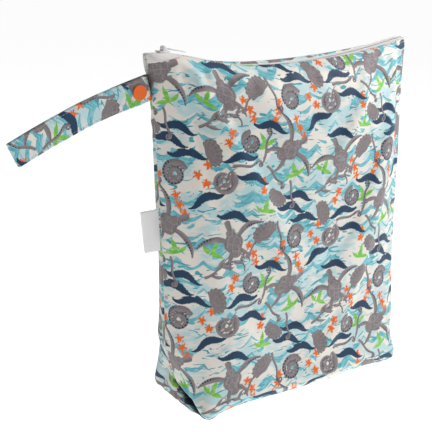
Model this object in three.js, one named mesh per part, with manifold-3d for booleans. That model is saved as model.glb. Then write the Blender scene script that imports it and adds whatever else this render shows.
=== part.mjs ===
// A zip-top wet bag in printed waterproof cloth, standing filled on its boxed base.
// The body is one length of cloth, folded under the base and closed by two side seams.
// A zip closes the top, a doubled hand strap with a press snap is sewn into the left
// seam, and a bare folded label is sewn into the same seam lower down.
//
// Frame: millimetres, +Z up, +X along the zip, the zip's slider towards -X, the front
// panel towards -Y. The origin is the middle of the base, on the floor.
import * as THREE from "three";
import { mergeVertices } from "three/addons/utils/BufferGeometryUtils.js";
import Module from "manifold-3d";

const wasm = await Module();
wasm.setup();

// Driving dimensions of the cloth body.
const CLOTH_WIDTH = 312; // flat width, side seam to side seam
const BASE_DEPTH = 85; // boxed base, front edge to back edge
const BAG_HEIGHT = 322; // floor to the raised ends of the zip
const CLOTH_WALL = 1.5;

// Zip.
const TAPE_THICKNESS = 1.0;
const TEETH_WIDTH = 3.0;
const TEETH_THICKNESS = 2.2;
const SLIDER_FROM_END = 14; // slider's middle, from the tapes' left end
const SLIDER_LENGTH = 11;
const SLIDER_WIDTH = 8;
const SLIDER_PLATE = 1.2;
const POST_LENGTH = 2.4;
const POST_WIDTH = 2.4;
const HINGE_PIN_RADIUS = 0.7;
const HINGE_PIN_RISE = 2.4; // pin's centre above the slider's top plate
const LUG_THICKNESS = 0.9;
const EYE_WALL = 0.9; // metal round the pin, in the lugs and in the pull's eye
const PULL_LENGTH = 22;
const PULL_WIDTH = 5.5;
const PULL_NECK = 3.2;
const PULL_THICKNESS = 1.2;
const PULL_NECK_LENGTH = 3.2; // from the eye to the wide tab
const PULL_SHOULDER = 1.4; // length over which the neck widens
const PULL_SLOT_IN = 2.6; // from the shoulder to the slot
const PULL_SLOT_OUT = 0.6; // from the slot's round end to the tab's
const PULL_REST = 0.14; // radians that the resting pull slopes down from the tape

// Hand strap: one band, sewn into the left seam, folded back on itself in front and
// held by the snap.
const STRAP_WIDTH = 21;
const STRAP_PLY = 2.0; // the band's own thickness, itself folded cloth
const STRAP_FOLD_PARTING = 1.4; // space between the band's two sides at the fold
const STRAP_REACH = 119; // sideways, from the side seam to the fold
const STRAP_DROP = 42; // how far the fold hangs below the root
const STRAP_SAG = 3.6; // how far the middle rises above the straight line
const STRAP_BELOW_TOP = 26.5; // the root's middle, below the BAG_HEIGHT
const STRAP_END_GAP = 1.2; // between the free end and the side seam

// Press snap.
const SNAP_CAP_RADIUS = 6.2;
const SNAP_CAP_THICKNESS = 1.5;
const SNAP_RING_RADIUS = 4.8;
const SNAP_PARTING = 3.4; // space between the strap's sides, which the rings fill
const SNAP_POST_RADIUS = 1.6;
const SNAP_FROM_ROOT = 11.5; // along the strap, from the side seam
const SNAP_POST_PAST = 1.2; // how far a post passes through the strap's side
const SNAP_EDGE = 0.4; // bevel round the caps and the rings
const SNAP_RIM = 2.2; // width of the raised rim round a cap's dished middle
const SNAP_DISH = 0.2; // depth of the dish
const SNAP_RING_APART = 0.2; // half the space between the socket and the stud

// Label.
const LABEL_REACH = 23.5;
const LABEL_HEIGHT = 38;
const LABEL_THICKNESS = 1.2;
const LABEL_BELOW_TOP = 151; // the label's middle, below the BAG_HEIGHT

// Fits.
const GAP = 0.3; // between pieces that touch on the real bag
const RUNNING_GAP = 0.35; // round the hinge pin

// Facets.
const ROUND_SIDES = 20;
const CORNER_COLUMNS = [0, 0.12, 0.25, 0.4, 0.55, 0.68, 0.79, 0.88, 0.96, 1.04, 1.13, 1.25, 1.42];
const PANEL_COLUMNS = 6; // from the last corner column to the panel's middle
const OUTLINE_STEPS = 240;
const LEVELS = [
  0, 0.015, 0.04, 0.07, 0.1, 0.135, 0.17, 0.21, 0.28, 0.36, 0.44, 0.52, 0.6, 0.68, 0.75,
  0.81, 0.86, 0.9, 0.93, 0.955, 0.975, 0.99, 1,
];

// Rows of the cloth body from the base edge to the zip, as shares:
// up is the share of the cloth's own height; mid and ear are the height of the row at
// the middle of the panel and at the side seam, as shares of BAG_HEIGHT; left and right
// are the seams' distances from the middle, as shares of half the CLOTH_WIDTH; depth is
// how far the panel stands forward, as a share of half the BASE_DEPTH; flat and blunt
// shape the outline, which runs flat along the panel and then turns in to the seam.
const ROWS = [
  { up: 0.0, mid: 0.0, ear: 0.0, left: 0.74, right: 0.745, depth: 0.9, flat: 16, blunt: 0.1 },
  { up: 0.015, mid: 0.006, ear: 0.006, left: 0.762, right: 0.768, depth: 1.0, flat: 16, blunt: 0.11 },
  { up: 0.04, mid: 0.028, ear: 0.027, left: 0.766, right: 0.774, depth: 1.04, flat: 15, blunt: 0.13 },
  { up: 0.1, mid: 0.09, ear: 0.088, left: 0.764, right: 0.77, depth: 1.02, flat: 10, blunt: 0.19 },
  { up: 0.2, mid: 0.19, ear: 0.188, left: 0.775, right: 0.78, depth: 1.05, flat: 7, blunt: 0.28 },
  { up: 0.35, mid: 0.34, ear: 0.34, left: 0.785, right: 0.792, depth: 1.08, flat: 5.5, blunt: 0.38 },
  { up: 0.5, mid: 0.488, ear: 0.495, left: 0.802, right: 0.81, depth: 1.11, flat: 5, blunt: 0.45 },
  { up: 0.65, mid: 0.632, ear: 0.65, left: 0.832, right: 0.842, depth: 1.12, flat: 4.2, blunt: 0.56 },
  { up: 0.77, mid: 0.748, ear: 0.77, left: 0.862, right: 0.88, depth: 1.09, flat: 3.6, blunt: 0.7 },
  { up: 0.85, mid: 0.826, ear: 0.85, left: 0.885, right: 0.903, depth: 1.02, flat: 3.4, blunt: 0.8 },
  { up: 0.9, mid: 0.872, ear: 0.9, left: 0.9, right: 0.915, depth: 0.9, flat: 3.6, blunt: 0.85 },
  { up: 0.94, mid: 0.908, ear: 0.941, left: 0.911, right: 0.923, depth: 0.7, flat: 4, blunt: 0.8 },
  { up: 0.975, mid: 0.94, ear: 0.976, left: 0.918, right: 0.922, depth: 0.42, flat: 7, blunt: 0.55 },
  { up: 0.99, mid: 0.951, ear: 0.99, left: 0.92, right: 0.913, depth: 0.28, flat: 10, blunt: 0.35 },
  { up: 1.0, mid: 0.944, ear: 1.0, left: 0.92, right: 0.905, depth: 0.19, flat: 14, blunt: 0.25 },
];

// How the rows lift towards each end: rise says how late the lift begins, level how
// flat it runs before the seam. top is the height that the zip's end reaches there, as
// a share of the BAG_HEIGHT.
const ENDS = {
  left: { rise: 3, level: 3, top: 1 },
  right: { rise: 1.8, level: 1, top: 0.992 },
};

// Creases pressed into the cloth, each a straight line on it from place 1 to place 2.
// The seam columns are distances from the side seam round the cloth, as shares of half
// the BASE_DEPTH, so that 1 is the base's corner; the up columns are heights as shares
// of BAG_HEIGHT; depth and width are shares of the BASE_DEPTH, and the depth fades
// towards place 2. A depth below zero stands out, as the base's corners do.
const CREASES = [
  { ends: "both", panel: "both", seam1: 1.05, up1: 0.0, seam2: 1.0, up2: 0.06, depth: -0.065, width: 0.2 },
  { ends: "both", panel: "front", seam1: 0.86, up1: 0.0, seam2: 0.05, up2: 0.17, depth: 0.09, width: 0.12 },
  { ends: "both", panel: "back", seam1: 0.86, up1: 0.0, seam2: 0.1, up2: 0.15, depth: 0.06, width: 0.12 },
  { ends: "both", panel: "both", seam1: 1.7, up1: 0.93, seam2: 0.25, up2: 0.78, depth: 0.025, width: 0.2 },
  { ends: "left", panel: "front", seam1: 2.6, up1: 0.97, seam2: 1.4, up2: 0.8, depth: 0.02, width: 0.2 },
  { ends: "right", panel: "both", seam1: 2.4, up1: 0.96, seam2: 0.9, up2: 0.86, depth: 0.02, width: 0.2 },
  { ends: "left", panel: "both", seam1: 1.1, up1: 0.3, seam2: 0.3, up2: 0.48, depth: 0.02, width: 0.2 },
  { ends: "right", panel: "both", seam1: 1.3, up1: 0.58, seam2: 0.3, up2: 0.42, depth: 0.02, width: 0.2 },
];

const HALF_WIDTH = CLOTH_WIDTH / 2;
const HALF_DEPTH = BASE_DEPTH / 2;
const SEAM_WALLS = 1.3; // wall thicknesses between the seam's edge and the inner wall
const CREASE_FADE = 0.8; // share of a crease's depth that is gone at its place 2
const EDGE_HOLD = 9; // height over which the base's edge holds the cloth out of a crease

// Shares of the way from a panel's middle to its seams where the cloth's faces meet.
// The CORNER_COLUMNS are distances from the seam as shares of half the BASE_DEPTH, so
// that they are closest together at the base's corner, which is at 1.
const cornerShares = CORNER_COLUMNS.map((distance) => 1 - (distance * HALF_DEPTH) / HALF_WIDTH);
const panelShares = Array.from(
  { length: PANEL_COLUMNS - 1 }, (_, i) => (cornerShares.at(-1) * (i + 1)) / PANEL_COLUMNS,
);
const halfShares = [...panelShares, ...cornerShares.toReversed()];
const columnShares = [...halfShares.toReversed().map((share) => -share), 0, ...halfShares];

// A smooth curve through one column of the ROWS that never swings past its values.
function column(name) {
  const ups = ROWS.map((row) => row.up);
  const values = ROWS.map((row) => row[name]);
  const steps = ups.slice(1).map((u, i) => u - ups[i]);
  const slopes = steps.map((step, i) => (values[i + 1] - values[i]) / step);
  const tangents = values.map((_, i) => {
    if (i === 0) return slopes[0];
    if (i === slopes.length) return slopes[i - 1];
    const [before, after] = [slopes[i - 1], slopes[i]];
    return before * after <= 0 ? 0 : (2 * before * after) / (before + after);
  });
  return (up) => {
    let i = 0;
    while (i < steps.length - 1 && up > ups[i + 1]) i += 1;
    const t = (up - ups[i]) / steps[i];
    const [t2, t3] = [t * t, t * t * t];
    return (
      (2 * t3 - 3 * t2 + 1) * values[i] +
      (t3 - 2 * t2 + t) * steps[i] * tangents[i] +
      (3 * t2 - 2 * t3) * values[i + 1] +
      (t3 - t2) * steps[i] * tangents[i + 1]
    );
  };
}
const row = Object.fromEntries(
  Object.keys(ROWS[0]).filter((name) => name !== "up").map((name) => [name, column(name)]),
);

const endName = (side) => (side < 0 ? "left" : "right");
const seamDistance = (up, side) => row[endName(side)](up) * HALF_WIDTH;

// Height of a row at a share of the way from the middle to a side seam: -1 is the left
// seam, 1 the right one.
function rowHeight(up, across) {
  const { rise, level, top } = ENDS[endName(across)];
  const lift = 1 - (1 - Math.min(1, Math.abs(across)) ** rise) ** level;
  return (row.mid(up) + (row.ear(up) * top - row.mid(up)) * lift) * BAG_HEIGHT;
}

// How far one wall thickness moves a row inwards and downwards, along the slope that
// the panel has there.
function wallStep(up, wall) {
  const reach = 0.004;
  const [low, high] = [Math.max(0, up - reach), Math.min(1, up + reach)];
  const out = (row.depth(high) - row.depth(low)) * HALF_DEPTH;
  const height = (level) => (rowHeight(level, 0) + rowHeight(level, 1)) / 2;
  const rise = height(high) - height(low);
  const length = Math.hypot(out, rise);
  return { inwards: (wall * rise) / length, downwards: (-wall * out) / length };
}

// A panel's outline seen from above, from its middle to the side seam. The function it
// gives back has the place and the outward direction at a share of the way along it.
function panelOutline(halfWidth, halfDepth, flat, blunt) {
  const points = Array.from({ length: OUTLINE_STEPS + 1 }, (_, i) => {
    const angle = (Math.PI / 2) * (i / OUTLINE_STEPS);
    const x = Math.sin(angle) ** (2 / flat);
    const y = Math.abs(Math.cos(angle)) ** (2 * blunt);
    return new THREE.Vector2(halfWidth * x, i === OUTLINE_STEPS ? 0 : halfDepth * y);
  });
  const lengths = [0];
  for (let i = 1; i < points.length; i += 1) {
    lengths.push(lengths[i - 1] + points[i].distanceTo(points[i - 1]));
  }
  return (share) => {
    const wanted = share * lengths.at(-1);
    let i = 1;
    while (i < OUTLINE_STEPS && lengths[i] < wanted) i += 1;
    const [a, b] = [points[i - 1], points[i]];
    const part = (wanted - lengths[i - 1]) / (lengths[i] - lengths[i - 1]);
    const run = b.clone().sub(a).normalize();
    return { place: a.clone().lerp(b, part), outward: new THREE.Vector2(-run.y, run.x) };
  };
}

// The pressed-in depth of all creases at a place on the cloth: share is -1 at the left
// seam, 0 at the panel's middle and 1 at the right seam.
function creaseDepth(panel, share, up) {
  const place = new THREE.Vector2((1 - Math.abs(share)) * HALF_WIDTH, up * BAG_HEIGHT);
  let total = 0;
  for (const crease of CREASES) {
    if (crease.ends !== "both" && crease.ends !== endName(share)) continue;
    if (crease.panel !== "both" && crease.panel !== panel) continue;
    const from = new THREE.Vector2(crease.seam1 * HALF_DEPTH, crease.up1 * BAG_HEIGHT);
    const to = new THREE.Vector2(crease.seam2 * HALF_DEPTH, crease.up2 * BAG_HEIGHT);
    const run = to.clone().sub(from);
    const along = THREE.MathUtils.clamp(
      place.clone().sub(from).dot(run) / run.lengthSq(), 0, 1,
    );
    const off = place.distanceTo(from.addScaledVector(run, along));
    const width = (crease.width * BASE_DEPTH) / 2;
    const depth = crease.depth * BASE_DEPTH * (1 - CREASE_FADE * along);
    const held = depth > 0 ? Math.min(1, (up * BAG_HEIGHT) / EDGE_HOLD) : 1;
    total += depth * held * Math.exp(-((off / width) ** 2));
  }
  return total;
}

// One row of the cloth on one panel, from the left seam to the right one. wall is 0 on
// the outside of the cloth and CLOTH_WALL on the inside.
function clothRow(panel, up, wall) {
  const step = wallStep(up, wall);
  const depth = row.depth(up) * HALF_DEPTH - step.inwards;
  const front = panel === "front" ? -1 : 1;
  const outlines = [-1, 1].map((side) => {
    const seam = seamDistance(up, side) - SEAM_WALLS * wall;
    return { seam, at: panelOutline(seam, depth, row.flat(up), row.blunt(up)) };
  });
  return columnShares.map((share) => {
    const side = share < 0 ? -1 : 1;
    const { seam, at } = outlines[share < 0 ? 0 : 1];
    const { place, outward } = at(Math.abs(share));
    const atSeam = Math.abs(share) === 1;
    if (atSeam) outward.set(1, 0);
    const z = Math.max(wall, rowHeight(up, (side * place.x) / seam) - step.downwards);
    place.addScaledVector(outward, -creaseDepth(panel, share, up));
    return new THREE.Vector3(side * place.x, front * Math.max(atSeam ? 0 : 0.2, place.y), z);
  });
}

// Closes rings of equally many points into one solid: side walls between neighbouring
// rings, and a fan over the first and the last ring.
function solidFromRings(rings) {
  const count = rings[0].length;
  const points = rings.flat();
  const faces = [];
  for (let low = 0; low < points.length - count; low += count) {
    for (let i = 0; i < count; i += 1) {
      const j = (i + 1) % count;
      faces.push([low + i, low + j, low + count + j], [low + i, low + count + j, low + count + i]);
    }
  }
  for (const [start, flip] of [[0, true], [(rings.length - 1) * count, false]]) {
    const middle = points.length;
    const ring = points.slice(start, start + count);
    points.push(ring.reduce((sum, p) => sum.add(p), new THREE.Vector3()).divideScalar(count));
    for (let i = 0; i < count; i += 1) {
      const j = (i + 1) % count;
      faces.push(flip ? [start + j, start + i, middle] : [start + i, start + j, middle]);
    }
  }
  return new THREE.BufferGeometry().setFromPoints(points).setIndex(faces.flat());
}

// The cloth body: outside rings from the base up to the zip, then inside rings down.
function clothBody() {
  const ring = (up, wall) => [
    ...clothRow("front", up, wall),
    ...clothRow("back", up, wall).slice(1, -1).reverse(),
  ];
  return solidFromRings([
    ...LEVELS.map((up) => ring(up, 0)),
    ...LEVELS.toReversed().map((up) => ring(up, CLOTH_WALL)),
  ]);
}

// The rim of the cloth's mouth on the outside and the inside of the cloth, and its
// straight pieces' place at an x place. The back rim mirrors the front one.
const rims = [0, CLOTH_WALL].map((wall) => clothRow("front", 1, wall));
function rimAt(x, rim) {
  const after = Math.max(1, rim.findIndex((point) => point.x >= x));
  const [a, b] = [rim[after - 1], rim[after]];
  return a.clone().lerp(b, (x - a.x) / (b.x - a.x));
}
const zipHeight = (x) => (rimAt(x, rims[0]).z + rimAt(x, rims[1]).z) / 2;
const zipHalfOpening = (x) => Math.min(...rims.map((rim) => -rimAt(x, rim).y));
const zipSlope = (x) => Math.atan2(zipHeight(x + 3) - zipHeight(x - 3), 6);

// A strip along the zip through x places, from one y to another at each of them.
function zipStrip(places, yLow, yHigh, thickness) {
  const rings = places.map((x) => {
    const z = zipHeight(x);
    return [
      new THREE.Vector3(x, yLow(x), z - thickness / 2),
      new THREE.Vector3(x, yHigh(x), z - thickness / 2),
      new THREE.Vector3(x, yHigh(x), z + thickness / 2),
      new THREE.Vector3(x, yLow(x), z + thickness / 2),
    ];
  });
  return solidFromRings(rings);
}

// The zip's parts bend where the rim's columns are, so that the gap stays even.
const rimPlaces = rims[1].slice(1, -1).map((point) => point.x);
const sliderX = rimPlaces[0] + SLIDER_FROM_END;
const teethStartX = sliderX - SLIDER_LENGTH / 2 + POST_LENGTH + 2 * GAP;
const teethHalf = TEETH_WIDTH / 2;

function zipTape(side) {
  const inner = () => side * (teethHalf + GAP);
  const outer = (x) => side * (zipHalfOpening(x) - GAP);
  return side < 0
    ? zipStrip(rimPlaces, outer, inner, TAPE_THICKNESS)
    : zipStrip(rimPlaces, inner, outer, TAPE_THICKNESS);
}

function zipTeeth() {
  const places = [teethStartX, ...rimPlaces.filter((x) => x > teethStartX + 0.5)];
  return zipStrip(places, () => -teethHalf, () => teethHalf, TEETH_THICKNESS);
}

// Manifold helpers: a three.js mesh in, a joined or cut three.js mesh out.
function asSolid(geometry) {
  const bare = geometry.index ? geometry.toNonIndexed() : geometry.clone();
  bare.deleteAttribute("normal");
  bare.deleteAttribute("uv");
  const merged = mergeVertices(bare, 1e-4);
  return new wasm.Manifold(
    new wasm.Mesh({
      numProp: 3,
      vertProperties: merged.attributes.position.array,
      triVerts: new Uint32Array(merged.index.array),
    }),
  );
}
function asGeometry(solid) {
  const mesh = solid.getMesh();
  return new THREE.BufferGeometry()
    .setAttribute("position", new THREE.BufferAttribute(mesh.vertProperties, 3))
    .setIndex(new THREE.BufferAttribute(mesh.triVerts, 1));
}
const joined = (...geometries) =>
  asGeometry(geometries.map(asSolid).reduce((sum, solid) => sum.add(solid)));

// A box between two corners.
function block(low, high) {
  const size = high.map((value, i) => value - low[i]);
  return new THREE.BoxGeometry(...size).translate(
    ...high.map((value, i) => (value + low[i]) / 2),
  );
}

// A cylinder along Y, between two y places.
function rodAlongY(x, z, radius, fromY, toY, sides = ROUND_SIDES) {
  return new THREE.CylinderGeometry(radius, radius, toY - fromY, sides).translate(
    x, (fromY + toY) / 2, z,
  );
}

// The zip's slider in its own frame: x along the zip, z up from the middle of the tapes.
const plateBottom = TEETH_THICKNESS / 2 + GAP;
const plateTop = plateBottom + SLIDER_PLATE;
const pinHeight = plateTop + HINGE_PIN_RISE;
const lugInner = PULL_NECK / 2 + RUNNING_GAP;
const eyeRadius = HINGE_PIN_RADIUS + RUNNING_GAP + EYE_WALL;

function sliderPlate() {
  const outline = new THREE.Shape();
  const [half, nose] = [SLIDER_LENGTH / 2, SLIDER_WIDTH * 0.34];
  outline.moveTo(-half, -SLIDER_WIDTH / 2);
  outline.lineTo(half, -nose);
  outline.lineTo(half, nose);
  outline.lineTo(-half, SLIDER_WIDTH / 2);
  return new THREE.ExtrudeGeometry(outline, { depth: SLIDER_PLATE, bevelEnabled: false });
}

function zipSlider() {
  const start = -SLIDER_LENGTH / 2;
  const lug = (side) => {
    const [a, b] = [side * lugInner, side * (lugInner + LUG_THICKNESS)];
    return [Math.min(a, b), Math.max(a, b)];
  };
  const lugHalf = HINGE_PIN_RADIUS + EYE_WALL;
  const pieces = [
    sliderPlate().translate(0, 0, plateBottom),
    sliderPlate().translate(0, 0, -plateTop),
    block(
      [start, -POST_WIDTH / 2, -plateBottom - SLIDER_PLATE / 2],
      [start + POST_LENGTH, POST_WIDTH / 2, plateBottom + SLIDER_PLATE / 2],
    ),
  ];
  for (const side of [-1, 1]) {
    const [low, high] = lug(side);
    pieces.push(
      block([-lugHalf, low, plateTop - SLIDER_PLATE / 2], [lugHalf, high, pinHeight]),
      rodAlongY(0, pinHeight, lugHalf, low, high),
    );
  }
  const pinHalf = lugInner + LUG_THICKNESS / 2;
  pieces.push(rodAlongY(0, pinHeight, HINGE_PIN_RADIUS, -pinHalf, pinHalf, 12));
  return joined(...pieces);
}

// The pull: an eye round the hinge pin, a neck and a wider tab with a slot. It is drawn
// lying towards +X, with the pin's axis at its own origin.
function zipPull() {
  const half = PULL_NECK / 2;
  const tabStart = eyeRadius + PULL_NECK_LENGTH;
  const tab = new THREE.Shape();
  const wide = PULL_WIDTH / 2;
  tab.moveTo(0, -half);
  tab.lineTo(tabStart - PULL_SHOULDER, -half);
  tab.lineTo(tabStart, -wide);
  tab.lineTo(PULL_LENGTH - wide, -wide);
  tab.absarc(PULL_LENGTH - wide, 0, wide, -Math.PI / 2, Math.PI / 2, false);
  tab.lineTo(tabStart, wide);
  tab.lineTo(tabStart - PULL_SHOULDER, half);
  tab.lineTo(0, half);
  const slot = new THREE.Path();
  const slotHalf = wide * 0.42;
  const slotStart = tabStart + PULL_SLOT_IN;
  const slotEnd = PULL_LENGTH - wide - PULL_SLOT_OUT;
  slot.moveTo(slotStart, -slotHalf);
  slot.lineTo(slotEnd, -slotHalf);
  slot.absarc(slotEnd, 0, slotHalf, -Math.PI / 2, Math.PI / 2, false);
  slot.lineTo(slotStart, slotHalf);
  tab.holes.push(slot);
  const plate = new THREE.ExtrudeGeometry(tab, {
    depth: PULL_THICKNESS, bevelEnabled: false, curveSegments: 6,
  }).translate(0, 0, -PULL_THICKNESS / 2);
  const eye = rodAlongY(0, 0, eyeRadius, -half, half);
  const bore = rodAlongY(0, 0, HINGE_PIN_RADIUS + RUNNING_GAP, -PULL_WIDTH, PULL_WIDTH, 16);
  return asGeometry(asSolid(plate).add(asSolid(eye)).subtract(asSolid(bore)));
}

// The side seam's edge on the left, at a height, with a gap for what is sewn to it.
const seamEdgeX = (z) => -seamDistance(Math.min(1, z / BAG_HEIGHT), -1) - GAP;

// The strap's middle line, from the side seam outwards, by the share of the way.
const strapRootHeight = BAG_HEIGHT - STRAP_BELOW_TOP;
function strapLine(share) {
  const x = seamEdgeX(strapRootHeight) - share * STRAP_REACH;
  const rise = STRAP_SAG * Math.sin(Math.PI * share);
  return new THREE.Vector3(x, 0, strapRootHeight - share * STRAP_DROP + rise);
}
function strapUpwards(share) {
  const reach = 0.01;
  const along = strapLine(share + reach).sub(strapLine(share - reach)).normalize();
  return new THREE.Vector3(along.z, 0, -along.x);
}

// Half the distance between the middles of the strap's two sides: widest at the snap.
const snapShare = SNAP_FROM_ROOT / STRAP_REACH;
function halfSpread(share) {
  const nearSnap = Math.exp(-(((share - snapShare) / 0.3) ** 2));
  const parting = STRAP_FOLD_PARTING + (SNAP_PARTING - STRAP_FOLD_PARTING) * nearSnap;
  return (parting + STRAP_PLY) / 2;
}

// The band seen from above: the sewn side, which lies in the seam's plane, the fold,
// then the free side in front of it. Each station has a share of the way out and the
// turn of the band's outward face.
function strapStations() {
  const foldShare = halfSpread(1) / STRAP_REACH;
  const sideSteps = 14;
  const foldSteps = 8;
  const sides = Array.from({ length: sideSteps + 1 }, (_, i) => ((1 - foldShare) * i) / sideSteps);
  const folds = Array.from({ length: foldSteps - 1 }, (_, i) => (Math.PI * (i + 1)) / foldSteps);
  return [
    ...sides.map((share) => ({ share, turn: 0 })),
    ...folds.map((turn) => ({ share: 1 - foldShare + foldShare * Math.sin(turn), turn })),
    ...sides.toReversed().map((share) => ({ share, turn: Math.PI })),
  ];
}

function strapBand() {
  const rings = strapStations().map(({ share, turn }) => {
    const upwards = strapUpwards(share);
    const outwards = new THREE.Vector3(-Math.sin(turn), Math.cos(turn), 0);
    const spread = halfSpread(share);
    const middle = strapLine(share).setY(spread * (Math.cos(turn) - 1));
    return [[-1, -1], [-1, 1], [1, 1], [1, -1]].map(([out, up]) =>
      middle
        .clone()
        .addScaledVector(outwards, (out * STRAP_PLY) / 2)
        .addScaledVector(upwards, (up * STRAP_WIDTH) / 2),
    );
  });
  // Both ends are cut along the side seam: one is sewn in, the other stops before it.
  rings[0].forEach((point) => point.setX(seamEdgeX(point.z)));
  rings.at(-1).forEach((point) => point.setX(seamEdgeX(point.z) - STRAP_END_GAP));
  return solidFromRings(rings);
}

// The snap's own frame: z out of the strap's face, origin midway between its two sides.
const snapPlace = strapLine(snapShare).setY(-halfSpread(snapShare));
const strapHoleRadius = SNAP_POST_RADIUS + GAP;
const innerFace = halfSpread(snapShare) - STRAP_PLY / 2;
const outerFace = innerFace + STRAP_PLY;

function lathe(profile) {
  const points = profile.map(([radius, height]) => new THREE.Vector2(radius, height));
  return new THREE.LatheGeometry(points, ROUND_SIDES).rotateX(Math.PI / 2);
}

// A domed cap with the post that goes through one side of the strap.
function snapCap() {
  const seat = outerFace + GAP;
  const top = seat + SNAP_CAP_THICKNESS;
  return lathe([
    [0, innerFace - SNAP_POST_PAST],
    [SNAP_POST_RADIUS, innerFace - SNAP_POST_PAST],
    [SNAP_POST_RADIUS, seat],
    [SNAP_CAP_RADIUS - SNAP_EDGE, seat],
    [SNAP_CAP_RADIUS, seat + SNAP_EDGE],
    [SNAP_CAP_RADIUS - SNAP_EDGE / 2, top - SNAP_EDGE],
    [SNAP_CAP_RADIUS - SNAP_RIM / 2, top],
    [SNAP_CAP_RADIUS - SNAP_RIM, top - SNAP_DISH],
    [0, top - SNAP_DISH],
  ]);
}

// The ring that grips the post between the two sides: socket in front, stud behind.
function snapRing() {
  const face = innerFace - GAP;
  const bore = SNAP_POST_RADIUS + GAP;
  return lathe([
    [bore, SNAP_RING_APART],
    [SNAP_RING_RADIUS - SNAP_EDGE, SNAP_RING_APART],
    [SNAP_RING_RADIUS, SNAP_RING_APART + SNAP_EDGE],
    [SNAP_RING_RADIUS, face],
    [bore, face],
    [bore, SNAP_RING_APART],
  ]);
}

function label() {
  const low = BAG_HEIGHT - LABEL_BELOW_TOP - LABEL_HEIGHT / 2;
  const rings = [0, 0.35, 0.7, 0.93, 1].map((share) => {
    const thick = (LABEL_THICKNESS / 2) * (share === 1 ? 0.35 : 1);
    return [[-1, 0], [1, 0], [1, 1], [-1, 1]].map(([side, up]) => {
      const z = low + up * LABEL_HEIGHT;
      return new THREE.Vector3(seamEdgeX(z) - share * LABEL_REACH, side * thick, z);
    });
  });
  return solidFromRings(rings);
}

// Turns a piece's faces outwards if its rings ran the other way round.
function facingOut(geometry) {
  if (asSolid(geometry).volume() > 0) return geometry;
  const index = geometry.index.array;
  for (let i = 0; i < index.length; i += 3) {
    [index[i + 1], index[i + 2]] = [index[i + 2], index[i + 1]];
  }
  return geometry;
}

// Materials.
const printedCloth = new THREE.MeshStandardMaterial({
  color: 0xbcd2d6, roughness: 0.85, metalness: 0,
});
const whiteTape = new THREE.MeshStandardMaterial({
  color: 0xe9e6e2, roughness: 0.8, metalness: 0,
});
const whiteNylon = new THREE.MeshStandardMaterial({
  color: 0xf0eeec, roughness: 0.45, metalness: 0,
});
const orangePlastic = new THREE.MeshStandardMaterial({
  color: 0xe0661a, roughness: 0.4, metalness: 0,
});
const labelSatin = new THREE.MeshStandardMaterial({
  color: 0xf2eff0, roughness: 0.6, metalness: 0,
});

const bag = new THREE.Group();

function add(name, geometry, material, parent = bag) {
  const mesh = new THREE.Mesh(facingOut(geometry), material);
  mesh.name = name;
  parent.add(mesh);
  return mesh;
}

add("bag_cloth", clothBody(), printedCloth);
add("zip_tape_front", zipTape(-1), whiteTape);
add("zip_tape_back", zipTape(1), whiteTape);
add("zip_teeth", zipTeeth(), whiteNylon);

const slider = new THREE.Group();
slider.position.set(sliderX, 0, zipHeight(sliderX));
slider.rotation.y = -zipSlope(sliderX);
bag.add(slider);
add("zip_slider", zipSlider(), whiteNylon, slider);
const pull = add("zip_pull", zipPull(), whiteNylon, slider);
pull.position.set(0, 0, pinHeight);
pull.rotation.y = PULL_REST;

const strapHole = rodAlongY(
  snapPlace.x, snapPlace.z, strapHoleRadius, -SNAP_CAP_RADIUS * 2, SNAP_CAP_RADIUS, 16,
);
add(
  "hand_strap",
  asGeometry(asSolid(facingOut(strapBand())).subtract(asSolid(strapHole))),
  printedCloth,
);

const snap = new THREE.Group();
snap.position.copy(snapPlace);
bag.add(snap);
for (const [end, turn] of [["front", Math.PI / 2], ["back", -Math.PI / 2]]) {
  const half = new THREE.Group();
  half.rotation.x = turn;
  snap.add(half);
  add(`snap_cap_${end}`, snapCap(), orangePlastic, half);
  add(end === "front" ? "snap_socket" : "snap_stud", snapRing(), orangePlastic, half);
}

add("side_label", label(), labelSatin);

export default bag;
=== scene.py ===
# %% [markdown]
# # A zip-top wet bag in printed cloth
#
# The object is a cloth bag that stands filled on its boxed base. A white zip closes the
# top. A hand strap with an orange snap and a small bare label are sewn into its left
# side seam. The CAD model holds the real sizes and the moving pull. This lesson lays
# the cloth, the print, the stitches and the small parts over that frame.
#
# The frame is loaded first, because every piece takes its place from it. All the
# shapes below are worked out in millimetres and made in metres.

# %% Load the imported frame
import math

import bpy
import numpy as np
from mathutils import Matrix, Vector, kdtree


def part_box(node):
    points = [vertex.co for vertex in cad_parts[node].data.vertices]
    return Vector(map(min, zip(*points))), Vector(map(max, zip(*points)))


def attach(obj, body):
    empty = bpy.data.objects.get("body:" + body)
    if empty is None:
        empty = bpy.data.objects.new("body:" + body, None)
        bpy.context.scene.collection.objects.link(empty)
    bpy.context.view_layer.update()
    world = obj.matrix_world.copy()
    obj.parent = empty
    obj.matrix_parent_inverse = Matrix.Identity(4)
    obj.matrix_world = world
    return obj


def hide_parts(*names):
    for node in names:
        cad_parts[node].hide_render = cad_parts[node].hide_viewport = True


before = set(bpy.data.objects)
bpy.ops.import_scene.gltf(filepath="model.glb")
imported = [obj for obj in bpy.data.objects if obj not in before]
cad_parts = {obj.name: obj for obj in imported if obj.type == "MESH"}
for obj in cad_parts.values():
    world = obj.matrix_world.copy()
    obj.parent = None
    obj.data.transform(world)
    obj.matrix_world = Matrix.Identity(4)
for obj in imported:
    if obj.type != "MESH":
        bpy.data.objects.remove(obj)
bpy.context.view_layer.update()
MM = 0.001
bpy.ops.object.select_all(action="DESELECT")

# %% [markdown]
# ## Camera, floor and light
#
# The camera was fitted to the photo: the bag is seen from its left front corner, from a
# little above, through a lens of medium length. The floor is one large pale sheet that
# fills the view and glows a little, as a photo table that is lit from below does. One
# soft lamp stands high on the right and a weak one hangs overhead, which leaves the
# bag's left end darker than its front.

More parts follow.
